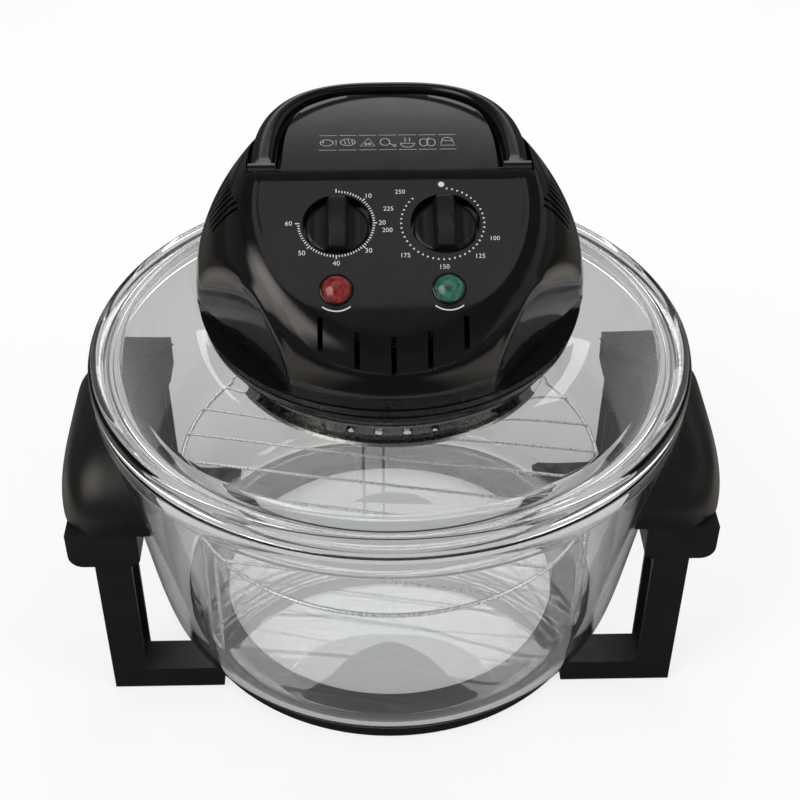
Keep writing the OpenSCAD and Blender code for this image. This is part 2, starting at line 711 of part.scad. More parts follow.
// Knob: a disc sunk in the well, with a grip bar across it
knob_r = well_r - 1.7;
module knob() difference() {
    union() {
        translate([0, 0, -well_d + 0.5]) cylinder(r = knob_r, h = 2.5);
        translate([0, 0, -well_d + 3]) cylinder(r1 = knob_r, r2 = knob_r - 1, h = 1);
        intersection() {
            translate([0, 0, -well_d + 1]) cylinder(r = knob_r - 1.2, h = well_d + 4);
            rotate([90, 0, 90]) translate([0, 0, -5.5]) linear_extrude(11) polygon(concat(
                [[-knob_r, -well_d + 1], [knob_r, -well_d + 1], [knob_r - 1, 3]],
                [for (x = [12 : -4 : -12]) [x, 5 - x * x / 110]], [[1 - knob_r, 3]]));
        }
    }
    difference() {
        translate([0, 0, -well_d]) cylinder(r = spindle_r, h = 5);
        translate([-5, 1.8, -well_d + 0.4]) cube([10, 5, 10]);
    }
}
module timer_knob() color([0.1, 0.1, 0.11]) knob_place(-1) knob();
module temp_knob() color([0.1, 0.1, 0.11]) knob_place(1) knob();

// Shaded-pole motor: bearing plates, laminations and coil
module motor() color([0.6, 0.45, 0.3]) difference() {
    union() {
        translate([-56, -22, motor_z]) cube([112, 44, 2]);
        translate([-24, -20, motor_z + 2]) cube([56, 40, 12]);
        translate([-42, -13, motor_z + 2]) cube([18.1, 26, 16]);
        translate([-8, -8, motor_z + 13.9]) cube([16, 16, 4]);
        translate([-22, -5, motor_z + 13.9]) cube([44, 10, 2]);
    }
    translate([0, 0, motor_z - 1]) cylinder(r = shaft_r + run_gap, h = 30);
    for (x = [-50, 50]) for (y = [-16, 16]) translate([x, y, motor_z - 1]) cylinder(r = 2.2, h = 4);
}
module motor_shaft() color([0.7, 0.7, 0.72])
    translate([0, 0, lamp_z - 4]) cylinder(r = shaft_r, h = motor_z + 21 - lamp_z);

// Pressed steel fan below the reflector: six pitched blades on a hub
module hot_air_fan() color([0.78, 0.79, 0.8]) translate([0, 0, lamp_z - 4]) difference() {
    union() {
        cylinder(r = 6, h = 10);
        cylinder(r = 22, h = 1.2);
        for (a = [0 : 60 : 300]) rotate(a) translate([30, 0, 4.2]) rotate([28, 0, 0])
            translate([-20, -8, -0.5]) cube([34, 16, 1]);
    }
    translate([0, 0, -1]) cylinder(r = shaft_r, h = 14);
}

// Moulded impeller that cools the head: a disc with upright blades
module cooling_fan() color([0.85, 0.84, 0.8]) translate([0, 0, foot_z + shell_t + 1.5]) difference() {
    union() {
        cylinder(r = 42, h = 1.5);
        cylinder(r = 7, h = 10);
        for (a = [0 : 30 : 330]) rotate(a) translate([14, -0.8, 1]) cube([26, 1.6, 9]);
    }
    translate([0, 0, -1]) cylinder(r = shaft_r, h = 14);
}

module terminal_block() color([0.9, 0.9, 0.86]) translate([-22, 70, foot_z + shell_t]) difference() {
    cube([44, 16, 10]);
    for (i = [0 : 3]) translate([6 + 10.7 * i, 8, 4]) cylinder(r = 3, h = 8);
}

// Appliance inlet: a flanged block with a deep socket, and the three blades in it
module power_inlet() color([0.12, 0.12, 0.13]) translate([0, inlet_y, inlet_z]) difference() {
    union() {
        translate([-16, 0, -12]) cube([32, 2.5, 24]);
        translate([-13, -22, -9]) cube([26, 22.01, 18]);
    }
    translate([-11, -15, -7]) cube([22, 20, 14]);
}
module inlet_pins() color([0.75, 0.75, 0.72]) translate([0, inlet_y, inlet_z])
    for (p = [[-7, -1.5], [7, -1.5], [0, 2]])
        translate([p[0] - 1, -15, p[1] - 2]) cube([2, 14.5, 4]);

// ---- handle -------------------------------------------------------------------------------

module handle_pins() color([0.7, 0.7, 0.72]) both_sides()
    translate([48, pivot_y, pivot_z]) rotate([0, 90, 0]) cylinder(r = pin_r, h = handle_x - 50);

// Section of the handle at angle a round its arch, from one pivot over the back to the other
function handle_ring(a) =
    let (outer = [handle_x * spow(cos(a), 2 / 2.6), 80 * pow(sin(a), 2 / 2.6)],
         inner = [(handle_x - handle_w) * spow(cos(a), 2 / 3.6), 72.5 * pow(sin(a), 2 / 3.6)],
         mid = (outer + inner) / 2,
         half = (outer - inner) / 2)
    [for (b = [0 : 30 : 330]) let (u = spow(cos(b), 0.7), v = -spow(sin(b), 0.7))
        [mid[0] + half[0] * u, mid[1] + half[1] * u, v * handle_t / 2]];

module carry_handle() color([0.05, 0.05, 0.055]) translate([0, pivot_y, pivot_z])
    difference() {
        union() {
            rotate([deck_slope, 0, 0])
                loft([for (a = [0 : 9 : 180]) handle_ring(a)]);
            both_sides() translate([handle_x - handle_w - 0.3, 0, 0]) rotate([0, 90, 0])
                cylinder(r = handle_t / 2 + 0.3, h = handle_w + 0.6);
        }
        both_sides() translate([handle_x - handle_w - 1, 0, 0]) rotate([0, 90, 0])
            cylinder(r = pin_r + run_gap, h = handle_w);
    }

base_ring();
left_support();
right_support();
left_ear();
right_ear();
rubber_feet();
bowl_pads();
support_screws();
ear_screws();
glass_bowl();
wire_rack();
glass_lid();
clamp_ring();
lower_gasket();
upper_gasket();
lamp_guard();
reflector();
ring_lamp();
lamp_holders();
clamp_screws();
head_base();
head_shell();
raised_deck();
control_panel();
head_screws();
power_lens();
heat_lens();
lamp_bodies();
timer_unit();
thermostat();
motor();
terminal_block();
power_inlet();
inlet_pins();
handle_pins();
carry_handle();
timer_shaft();
timer_knob();
temp_shaft();
temp_knob();
motor_shaft();
hot_air_fan();
cooling_fan();
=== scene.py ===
"""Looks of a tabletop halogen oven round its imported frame. Metres, +Z up, front towards -Y."""

import math

import bmesh
import bpy
import numpy as np
from mathutils import Matrix, Vector


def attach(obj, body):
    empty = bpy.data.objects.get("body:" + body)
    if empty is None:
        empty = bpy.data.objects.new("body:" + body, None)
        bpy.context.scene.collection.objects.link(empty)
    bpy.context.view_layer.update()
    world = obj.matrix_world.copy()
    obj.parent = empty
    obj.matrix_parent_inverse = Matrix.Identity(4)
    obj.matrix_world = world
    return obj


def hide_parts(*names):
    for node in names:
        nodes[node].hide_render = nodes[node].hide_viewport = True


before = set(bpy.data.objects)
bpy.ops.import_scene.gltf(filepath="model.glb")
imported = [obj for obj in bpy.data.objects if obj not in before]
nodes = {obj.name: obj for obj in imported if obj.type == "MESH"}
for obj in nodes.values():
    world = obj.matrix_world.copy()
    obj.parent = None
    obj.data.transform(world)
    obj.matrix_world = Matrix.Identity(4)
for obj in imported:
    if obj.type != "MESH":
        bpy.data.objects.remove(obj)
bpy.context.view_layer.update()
MM = 0.001

# ---- places taken over from the part's source, in mm ------------------------------------------

HEAD_Z = 232.0
HEAD_R = 106.0
FOOT_Z = 212.0
FOLD_Y, FOLD_Z = -62.9, 283.1
BROW_Y = -13.4
APRON, FACE, DECK = (math.radians(a) for a in (35, 25, 5))
BROW_Z = FOLD_Z + (BROW_Y - FOLD_Y) * math.tan(FACE)
KNOB_X, KNOB_Y = 27.3, -40.5
KNOB_Z = FOLD_Z + (KNOB_Y - FOLD_Y) * math.tan(FACE)
WELL_R, WELL_D = 17.7, 7.0
KNOB_R = WELL_R - 1.7
LENS_X, LENS_Y, LENS_R = 27.9, -73.3, 8.2
LENS_Z = FOLD_Z + (LENS_Y - FOLD_Y) * math.tan(APRON)
HANDLE_X, HANDLE_W, HANDLE_T = 73.3, 13.5, 12.0
HANDLE_BACK = 79.5
PIVOT_Y = -3.0
PIVOT_Z = BROW_Z + (PIVOT_Y - BROW_Y) * math.tan(DECK) - 7.2
CHANNEL_D = 14.2
DECK_HALF, DECK_BACK = 56.0, 62.0
FACE_SINK = 0.7
POST_X, EAR_Z, EAR_H, EAR_REACH = 156.0, 127.0, 46.0, 41.0


# ---- mesh helpers -----------------------------------------------------------------------------

def finished(name, bm, body, material, stands_for=(), smooth=35, smoothed_levels=0):
    """Turns a bmesh in mm into a piece that rides on a body."""
    bmesh.ops.scale(bm, vec=(MM, MM, MM), verts=bm.verts)
    mesh = bpy.data.meshes.new(name)
    bm.to_mesh(mesh)
    bm.free()
    mesh.shade_smooth()
    mesh.set_sharp_from_angle(angle=math.radians(smooth))
    piece = bpy.data.objects.new(name, mesh)
    bpy.context.scene.collection.objects.link(piece)
    mesh.materials.append(material)
    if smoothed_levels:
        rounding = piece.modifiers.new("rounding", "SUBSURF")
        rounding.levels = rounding.render_levels = smoothed_levels
    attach(piece, body)
    if stands_for:
        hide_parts(*stands_for)
    return piece


def between(a, b, c, d, t):
    """A point between b and c on the smooth curve a, b, c, d."""
    return 0.5 * (2 * b + (c - a) * t + (2 * a - 5 * b + 4 * c - d) * t * t
                  + (3 * b - a - 3 * c + d) * t * t * t)


def curve_through(points, steps):
    """A smooth curve through a few points."""
    p = [np.array(q, float) for q in points]
    last, out = len(p) - 1, []
    for i in range(last):
        for k in range(steps):
            out.append(between(p[max(i - 1, 0)], p[i], p[i + 1], p[min(i + 2, last)], k / steps))
    return out + [p[-1]]


def offset_curve(points, distance):
    """The curve moved sideways."""
    out = []
    for i, p in enumerate(points):
        d = points[min(i + 1, len(points) - 1)] - points[max(i - 1, 0)]
        out.append(p + distance * np.array([-d[1], d[0]]) / np.hypot(*d))
    return out


def turned(outline, steps=192):
    """A closed outline of (radius, height) turned round the upright axis."""
    bm = bmesh.new()
    verts = [bm.verts.new((p[0], 0, p[1])) for p in outline]
    edges = [bm.edges.new((verts[i], verts[(i + 1) % len(verts)])) for i in range(len(verts))
             if not (outline[i][0] == 0 and outline[(i + 1) % len(verts)][0] == 0)]
    bmesh.ops.spin(bm, geom=verts + edges, cent=(0, 0, 0), axis=(0, 0, 1), angle=math.tau,
                   steps=steps, use_merge=True)
    bmesh.ops.remove_doubles(bm, verts=bm.verts, dist=1e-4)
    bmesh.ops.recalc_face_normals(bm, faces=bm.faces)
    return bm


def swept(sections, closed=False):
    """A skin through rings of points with equal counts, capped at both ends unless it is closed."""
    bm = bmesh.new()
    count = len(sections[0])
    first = bmesh.ops.create_circle(bm, segments=count, radius=1)["verts"]
    for v, p in zip(first, sections[0]):
        v.co = p
    ring = first
    edges = list(bm.edges)
    if not closed:
        bmesh.ops.contextual_create(bm, geom=edges)
    for section in sections[1:]:
        made = bmesh.ops.extrude_edge_only(bm, edges=edges)["geom"]
        new = [g for g in made if isinstance(g, bmesh.types.BMVert)]
        partner = {}
        for v in new:
            for e in v.link_edges:
                other = e.other_vert(v)
                if other in ring:
                    partner[other] = v
        ring = [partner[v] for v in ring]
        for v, p in zip(ring, section):
            v.co = p
        edges = [e for e in made if isinstance(e, bmesh.types.BMEdge)
                 and e.verts[0] in ring and e.verts[1] in ring]
    if not closed:
        bmesh.ops.contextual_create(bm, geom=edges)
    bmesh.ops.recalc_face_normals(bm, faces=bm.faces)
    return bm


def prism(outline, low, high):
    """A block over a flat outline; low and high give the height at each point."""
    bm = bmesh.new()
    face = bm.faces.new([bm.verts.new((x, y, low(x, y))) for x, y in outline])
    top = bmesh.ops.extrude_face_region(bm, geom=[face])["geom"]
    for v in top:
        if isinstance(v, bmesh.types.BMVert):
            v.co.z = high(v.co.x, v.co.y)
    bmesh.ops.recalc_face_normals(bm, faces=bm.faces)
    return bm


def block(size, place, turn=None):
    bm = bmesh.new()
    bmesh.ops.create_cube(bm, size=1)
    bmesh.ops.scale(bm, vec=size, verts=bm.verts)
    if turn is not None:
        bmesh.ops.transform(bm, matrix=turn, verts=bm.verts)
    bmesh.ops.translate(bm, vec=place, verts=bm.verts)
    return bm


def rod(radius, low, high, matrix, segments=64, radius_high=None):
    bm = bmesh.new()
    bmesh.ops.create_cone(bm, cap_ends=True, segments=segments, radius1=radius,
                          radius2=radius if radius_high is None else radius_high, depth=high - low)
    bmesh.ops.translate(bm, vec=(0, 0, (low + high) / 2), verts=bm.verts)
    bmesh.ops.transform(bm, matrix=matrix, verts=bm.verts)
    return bm


def joined(parts):
    """One bmesh from several."""
    whole = bmesh.new()
    for bm in parts:
        mesh = bpy.data.meshes.new("part")
        bm.to_mesh(mesh)
        bm.free()
        whole.from_mesh(mesh)
        bpy.data.meshes.remove(mesh)
    return whole


def as_object(bm):
    mesh = bpy.data.meshes.new("work")
    bm.to_mesh(mesh)
    bm.free()
    work = bpy.data.objects.new("work", mesh)
    bpy.context.scene.collection.objects.link(work)
    return work


def evaluated_mesh(work):
    graph = bpy.context.evaluated_depsgraph_get()
    return bpy.data.meshes.new_from_object(work.evaluated_get(graph))


def cut(base, tools, operation="DIFFERENCE"):
    """The first bmesh cut by the others, one after another."""
    work = as_object(base)
    for bm in tools:
        tool = as_object(bm)
        step = work.modifiers.new("cut", "BOOLEAN")
        step.operation = operation
        step.solver = "MANIFOLD"
        step.object = tool
        bpy.context.view_layer.update()
        mesh = evaluated_mesh(work)
        work.modifiers.clear()
        old = work.data
        work.data = mesh
        bpy.data.meshes.remove(old)
        tool_mesh = tool.data
        bpy.data.objects.remove(tool)
        bpy.data.meshes.remove(tool_mesh)
    bm = bmesh.new()
    bm.from_mesh(work.data)
    mesh = work.data
    bpy.data.objects.remove(work)
    bpy.data.meshes.remove(mesh)
    return bm


def spow(v, e):
    """A power that keeps the sign."""
    return math.copysign(abs(v) ** e, v)


# ---- shader groups ----------------------------------------------------------------------------

def new_group(name, values, outputs):
    """A group over a place: a Vector input, further inputs with their defaults, and outputs."""
    group = bpy.data.node_groups.new(name, "ShaderNodeTree")
    sockets = group.interface
    sockets.new_socket("Vector", in_out="INPUT", socket_type="NodeSocketVector")
    for label, default in values.items():
        kind = "NodeSocketVector" if isinstance(default, tuple) else "NodeSocketFloat"
        sockets.new_socket(label, in_out="INPUT", socket_type=kind).default_value = default
    for label in outputs:
        sockets.new_socket(label, in_out="OUTPUT", socket_type="NodeSocketFloat")
    return group, group.nodes.new("NodeGroupInput"), group.nodes.new("NodeGroupOutput")


def add(tree, kind, **settings):
    """A new node; in_ names set its inputs, other names its own settings."""
    node = tree.nodes.new(kind)
    for key, value in settings.items():
        if key.startswith("in_"):
            node.inputs[key[3:].replace("_", " ")].default_value = value
        else:
            setattr(node, key, value)
    return node


def link(tree, source, node, socket):
    tree.links.new(source, node.inputs[socket])


def math_node(tree, operation, a, b=None, clamp=False):
    node = tree.nodes.new("ShaderNodeMath")
    node.operation = operation
    node.use_clamp = clamp
    for i, v in enumerate((a, b)):
        if v is None:
            continue
        if isinstance(v, (int, float)):
            node.inputs[i].default_value = v
        else:
            link(tree, v, node, i)
    return node.outputs[0]


def product(tree, *factors):
    """Several values multiplied together."""
    out = factors[0]
    for factor in factors[1:]:
        out = math_node(tree, "MULTIPLY", out, factor)
    return out


def mixed(tree, share, one, two):
    """Two shaders, mixed by a share of the second."""
    node = add(tree, "ShaderNodeMixShader")
    for socket, value in (("Fac", share), (1, one), (2, two)):
        link(tree, value, node, socket)
    return node.outputs["Shader"]


def moulding_group():
    """Fine spark-eroded texture and the slow waviness of a moulded wall."""
    t, start, end = new_group("moulded_texture", {
        "Grain Scale": 2500.0, "Grain Share": 1.0, "Wave Share": 0.3}, ("Height", "Mottle"))
    grain = add(t, "ShaderNodeTexNoise", in_Detail=3.0)
    link(t, start.outputs["Vector"], grain, "Vector")
    link(t, start.outputs["Grain Scale"], grain, "Scale")
    wave = add(t, "ShaderNodeTexNoise", in_Scale=18.0, in_Detail=2.0)
    link(t, start.outputs["Vector"], wave, "Vector")
    a = math_node(t, "MULTIPLY", grain.outputs["Fac"], start.outputs["Grain Share"])
    b = math_node(t, "MULTIPLY", wave.outputs["Fac"], start.outputs["Wave Share"])
    link(t, math_node(t, "ADD", a, b), end, "Height")
    mottle = add(t, "ShaderNodeTexNoise", in_Scale=60.0, in_Detail=4.0, in_Roughness=0.6)
    link(t, start.outputs["Vector"], mottle, "Vector")
    link(t, mottle.outputs["Fac"], end, "Mottle")
    return t


def handling_group():
    """Faint finger marks and dust, as a mask from 0 to 1."""
    t, start, end = new_group("handling_marks", {"Size": 30.0, "Cover": 0.5}, ("Marks", "Dust"))
    blot = add(t, "ShaderNodeTexNoise", in_Detail=5.0, in_Roughness=0.55, in_Distortion=0.6)
    link(t, start.outputs["Vector"], blot, "Vector")
    link(t, start.outputs["Size"], blot, "Scale")
    low = math_node(t, "SUBTRACT", 0.72, math_node(t, "MULTIPLY", start.outputs["Cover"], 0.3))
    over = math_node(t, "SUBTRACT", blot.outputs["Fac"], low)
    link(t, math_node(t, "DIVIDE", over, 0.16, clamp=True), end, "Marks")
    fleck = add(t, "ShaderNodeTexNoise", in_Scale=900.0, in_Detail=1.0)
    link(t, start.outputs["Vector"], fleck, "Vector")
    over = math_node(t, "SUBTRACT", fleck.outputs["Fac"], 0.69)
    link(t, math_node(t, "DIVIDE", over, 0.05, clamp=True), end, "Dust")
    return t


def drawn_group():
    """Fine lines of drawn wire, turned or brushed metal: stretched noise."""
    t, start, end = new_group("drawn_lines", {
        "Stretch": (1.0, 1.0, 1.0), "Line Scale": 400.0}, ("Lines", "Tarnish"))
    stretch = add(t, "ShaderNodeVectorMath", operation="MULTIPLY")
    link(t, start.outputs["Vector"], stretch, 0)
    link(t, start.outputs["Stretch"], stretch, 1)
    lines = add(t, "ShaderNodeTexNoise", in_Detail=4.0, in_Roughness=0.6)
    link(t, stretch.outputs[0], lines, "Vector")
    link(t, start.outputs["Line Scale"], lines, "Scale")
    link(t, lines.outputs["Fac"], end, "Lines")
    tarnish = add(t, "ShaderNodeTexNoise", in_Scale=35.0, in_Detail=4.0)
    link(t, start.outputs["Vector"], tarnish, "Vector")
    link(t, tarnish.outputs["Fac"], end, "Tarnish")
    return t


MOULDING = moulding_group()
HANDLING = handling_group()
DRAWN = drawn_group()


def start_material(name, **sockets):
    material = bpy.data.materials.new(name)
    material.use_nodes = True
    tree = material.node_tree
    shader = tree.nodes["Principled BSDF"]
    for key, value in sockets.items():
        shader.inputs[key.replace("_", " ")].default_value = value
    place = tree.nodes.new("ShaderNodeTexCoord").outputs["Object"]
    return material, tree, shader, place


def use_group(tree, group, place, **values):
    node = tree.nodes.new("ShaderNodeGroup")
    node.node_tree = group
    link(tree, place, node, "Vector")
    for key, value in values.items():
        node.inputs[key.replace("_", " ")].default_value = value
    return node


def ranged(tree, value, low, high, start=0.0, end=1.0):
    """A value spread from start..end over low..high."""
    node = tree.nodes.new("ShaderNodeMapRange")
    link(tree, value, node, "Value")
    node.inputs["From Min"].default_value = start
    node.inputs["From Max"].default_value = end
    node.inputs["To Min"].default_value = low
    node.inputs["To Max"].default_value = high
    return node.outputs["Result"]


def blended(tree, share, one, two):
    node = tree.nodes.new("ShaderNodeMix")
    node.data_type = "RGBA"
    link(tree, share, node, "Factor")
    for value, key in ((one, "A"), (two, "B")):
        socket = [s for s in node.inputs if s.name == key and s.type == "RGBA"][0]
        if isinstance(value, tuple):
            socket.default_value = (*value, 1)
        else:
            tree.links.new(value, socket)
    return [s for s in node.outputs if s.type == "RGBA"][0]


def bumped(tree, shader, height, strength, distance):
    node = add(tree, "ShaderNodeBump", in_Strength=strength, in_Distance=distance)
    link(tree, height, node, "Height")
    link(tree, node.outputs["Normal"], shader, "Normal")
    return node


def rough_mask(tree, pattern, marks, rough, spread, marked):
    """Roughness that follows a pattern's middle values, raised where hands have been."""
    base = ranged(tree, pattern, rough - spread, rough + spread, 0.3, 0.7)
    return math_node(tree, "ADD", base, math_node(tree, "MULTIPLY", marks, marked), clamp=True)


def plastic(name, dark, light, rough, rough_spread, grain, depth, wave=0.3, dusty=0.25,
            **sockets):
    """Moulded plastic: colour mottle, moulded texture and a little handling."""
    material, tree, shader, place = start_material(name, **sockets)
    texture = use_group(tree, MOULDING, place, Grain_Scale=grain, Wave_Share=wave)
    marks = use_group(tree, HANDLING, place, Size=28.0, Cover=0.45)
    colour = blended(tree, texture.outputs["Mottle"], dark, light)
    dust = math_node(tree, "MULTIPLY", marks.outputs["Dust"], dusty)
    link(tree, blended(tree, dust, colour, tuple(c + 0.06 for c in light)), shader, "Base Color")
    link(tree, rough_mask(tree, texture.outputs["Mottle"], marks.outputs["Marks"], rough,
                          rough_spread, rough_spread * 1.2),
         shader, "Roughness")
    bumped(tree, shader, texture.outputs["Height"], 0.35, depth)
    return material


def metal(name, colour, worn, rough, stretch, line_scale, depth, rough_spread=0.08, metallic=1.0):
    """Drawn, turned or brushed metal: lines in its roughness and bump, tarnish in its colour."""
    material, tree, shader, place = start_material(name, Metallic=metallic)
    lines = use_group(tree, DRAWN, place, Line_Scale=line_scale)
    lines.inputs["Stretch"].default_value = stretch
    marks = use_group(tree, HANDLING, place, Size=45.0, Cover=0.35)
    link(tree, blended(tree, lines.outputs["Tarnish"], colour, worn), shader, "Base Color")
    link(tree, rough_mask(tree, lines.outputs["Lines"], marks.outputs["Marks"], rough,
                          rough_spread, 0.07),
         shader, "Roughness")
    bumped(tree, shader, lines.outputs["Lines"], 0.3, depth)
    return material


def glass(name, tint, tint_shadow):
    """Clear glass: faint marks in its roughness; light passes it without a dark shadow."""
    material, tree, shader, place = start_material(
        name, Base_Color=(*tint, 1), Roughness=0.0, Transmission_Weight=1.0, IOR=1.47)
    marks = use_group(tree, HANDLING, place, Size=14.0, Cover=0.35)
    link(tree, ranged(tree, marks.outputs["Marks"], 0.0, 0.035), shader, "Roughness")
    wave = use_group(tree, MOULDING, place, Grain_Share=0.0, Wave_Share=1.0)
    bumped(tree, shader, wave.outputs["Height"], 0.1, 0.0003)
    through = add(tree, "ShaderNodeBsdfTransparent")
    through.inputs["Color"].default_value = (*tint_shadow, 1)
    path = add(tree, "ShaderNodeLightPath")
    either = math_node(tree, "MAXIMUM", path.outputs["Is Shadow Ray"],
                       path.outputs["Is Diffuse Ray"])
    link(tree, mixed(tree, either, shader.outputs["BSDF"], through.outputs["BSDF"]),
         tree.nodes["Material Output"], "Surface")
    return material


def lens_plastic(name, deep, pale):
    """Coloured, slightly cloudy lens: pale clouds over the deep colour."""
    material, tree, shader, place = start_material(
        name, Roughness=0.12, Coat_Weight=0.7, Coat_Roughness=0.03)
    cloud = add(tree, "ShaderNodeTexNoise", in_Scale=330.0, in_Detail=5.0, in_Roughness=0.62,
                in_Distortion=0.8)
    link(tree, place, cloud, "Vector")
    clouded = ranged(tree, cloud.outputs["Fac"], 0.0, 1.0, 0.36, 0.66)
    link(tree, blended(tree, clouded, deep, pale), shader, "Base Color")
    bumped(tree, shader, cloud.outputs["Fac"], 0.15, 0.0001)
    return material


STAND = plastic("stand_matt_black", (0.006, 0.006, 0.0063), (0.011, 0.011, 0.0113),
                0.46, 0.06, 2600.0, 0.00006, dusty=0.1)
EARS = plastic("ear_satin_black", (0.005, 0.005, 0.0053), (0.009, 0.009, 0.0093),
               0.3, 0.05, 3200.0, 0.00003, dusty=0.1)
GLOSS = plastic("housing_gloss_black", (0.003, 0.0029, 0.0028), (0.005, 0.0048, 0.0046),
                0.11, 0.03, 3800.0, 0.000006, 0.6, 0.03, Coat_Weight=0.4, Coat_Roughness=0.04)
SKIRT = plastic("skirt_satin_black", (0.003, 0.0029, 0.0028), (0.005, 0.0048, 0.0046),
                0.26, 0.05, 3800.0, 0.00001, 0.4, 0.05, Specular_IOR_Level=0.2)
HANDLE = plastic("handle_gloss_black", (0.003, 0.003, 0.0031), (0.005, 0.005, 0.0051),
                 0.17, 0.04, 3600.0, 0.00001, 0.5, 0.04, Coat_Weight=0.25, Coat_Roughness=0.06)
KNOB = plastic("knob_satin_black", (0.006, 0.006, 0.0064), (0.011, 0.011, 0.0114),
               0.3, 0.05, 3400.0, 0.00003, dusty=0.08)
INLET = plastic("inlet_black", (0.01, 0.01, 0.011), (0.017, 0.017, 0.018),
                0.45, 0.05, 2800.0, 0.00005)
PRINT = plastic("pale_print", (0.5, 0.5, 0.5), (0.6, 0.6, 0.59),
                0.45, 0.05, 2800.0, 0.00001, dusty=0.02)
PRINT_FAINT = plastic("thin_pale_print", (0.27, 0.27, 0.27), (0.36, 0.36, 0.36),
                      0.4, 0.05, 2800.0, 0.00001, dusty=0.02)
RED_LENS = lens_plastic("red_lens_plastic", (0.1, 0.006, 0.006), (0.24, 0.035, 0.03))
GREEN_LENS = lens_plastic("green_lens_plastic", (0.01, 0.06, 0.043), (0.04, 0.15, 0.11))
IVORY = plastic("inner_ivory_plastic", (0.62, 0.6, 0.54), (0.72, 0.7, 0.64),
                0.42, 0.06, 2400.0, 0.00005)
RUBBER = plastic("foot_rubber", (0.014, 0.014, 0.014), (0.03, 0.03, 0.03),
                 0.78, 0.08, 1500.0, 0.0001)
SILICONE = plastic("gasket_silicone", (0.05, 0.05, 0.05), (0.08, 0.08, 0.08),
                   0.6, 0.06, 1800.0, 0.00006)
CERAMIC = plastic("holder_ceramic", (0.7, 0.68, 0.62), (0.8, 0.78, 0.73),
                  0.35, 0.08, 900.0, 0.00008)
COIL = plastic("motor_and_timer_metal", (0.3, 0.27, 0.2), (0.42, 0.38, 0.3),
               0.4, 0.08, 700.0, 0.00006, Metallic=0.6)
RACK = metal("rack_chromed_wire", (0.74, 0.74, 0.73), (0.6, 0.6, 0.59), 0.28,
             (1.0, 1.0, 1.0), 900.0, 0.00002, metallic=0.55)
STEEL = metal("pressed_bright_steel", (0.2, 0.195, 0.19), (0.15, 0.147, 0.143), 0.24,
              (1.0, 1.0, 6.0), 500.0, 0.00002)
SCREW = metal("zinc_screws", (0.6, 0.6, 0.62), (0.45, 0.45, 0.46), 0.3,
              (1.0, 1.0, 4.0), 900.0, 0.00003)
# The steel pivot pins get a dark metal colour, much darker than bare steel.
DARK_PIN = metal("dark_steel_pivot_pins", (0.02, 0.02, 0.021), (0.012, 0.012, 0.012), 0.35,
                 (4.0, 1.0, 1.0), 900.0, 0.00002, metallic=0.8)
PAN = metal("bright_aluminium_pan", (0.85, 0.86, 0.87), (0.7, 0.71, 0.72), 0.2,
            (2.0, 2.0, 0.5), 400.0, 0.00003)
GLASS = glass("clear_bowl_glass", (0.93, 0.94, 0.935), (0.94, 0.95, 0.945))
QUARTZ = glass("lamp_quartz", (0.97, 0.95, 0.9), (0.9, 0.88, 0.84))

FINISH = {
    "stand_plastic": STAND, "ear_plastic": EARS, "rubber": RUBBER, "screw_steel": SCREW,
    "clear_glass": GLASS, "rack_chrome": RACK, "pressed_steel": STEEL, "silicone": SILICONE,
    "pan_aluminium": PAN, "quartz": QUARTZ, "ceramic": CERAMIC, "head_gloss": GLOSS,
    "panel_satin": GLOSS, "red_lens": RED_LENS, "green_lens": GREEN_LENS, "inner_plastic": IVORY,
    "inner_metal": COIL, "inlet_plastic": INLET, "handle_gloss": HANDLE, "knob_plastic": KNOB}
for node in nodes.values():
    for slot in node.material_slots:
        slot.material = FINISH[slot.material.name.split(".")[0]]
nodes["handle_pins"].material_slots[0].material = DARK_PIN


# ---- glass bowl and lid -----------------------------------------------------------------------

BOWL_Z, RIM_Z, GLASS_T = 10.5, 183.0, 5.0
bowl_side = curve_through([(124, BOWL_Z), (134, BOWL_Z + 3), (141.7, BOWL_Z + 12.5), (147, 45),
                           (152.5, 80), (160, 130), (165.5, RIM_Z - 15)], 9)
bowl_inside = offset_curve(bowl_side, GLASS_T)[5:]
rim = [(167.6, RIM_Z - 13.2), (168.9, RIM_Z - 12), (169.5, RIM_Z - 10), (169.5, RIM_Z - 3),
       (169.1, RIM_Z - 1.2), (167.9, RIM_Z - 0.3), (166.5, RIM_Z), (163.9, RIM_Z),
       (162.7, RIM_Z - 0.7), (162.2, RIM_Z - 2), (161.4, RIM_Z - 7)]
bowl_outline = ([(0, BOWL_Z + 0.6), (60, BOWL_Z + 0.5), (118, BOWL_Z + 0.05)]
                + [tuple(p) for p in bowl_side] + rim + [tuple(p) for p in reversed(bowl_inside)]
                + [(122, BOWL_Z + GLASS_T), (60, BOWL_Z + GLASS_T), (0, BOWL_Z + GLASS_T)])
finished("bowl_glass", turned(bowl_outline, 200), "bowl", GLASS,
         ("glass_bowl",), 60)


def lid_height(r):
    return 211 - 18.4 * (max(0.0, r - 104) / 56) ** 1.5


lid_outline = ([(156.3, RIM_Z - 5), (158.6, RIM_Z - 5), (159.6, RIM_Z - 4.2), (160.4, RIM_Z),
                (168.2, RIM_Z + 0.05), (169.5, RIM_Z + 0.8), (170, RIM_Z + 2.2), (170, RIM_Z + 6.6),
                (169.4, RIM_Z + 9), (168, RIM_Z + 10.9), (166, RIM_Z + 11.8), (163.6, RIM_Z + 11.6)]
               + [(r, lid_height(r)) for r in np.linspace(160, 104, 17)]
               + [(87.2, 211), (86.2, 210.4), (86, 209), (86, 207.5), (87, 206.5)]
               + [(r, lid_height(r) - 4.5) for r in np.linspace(104, 152, 15)])
finished("lid_glass", turned(lid_outline, 200), "lid", GLASS, ("glass_lid",), 60)


# ---- the head's housing -----------------------------------------------------------------------

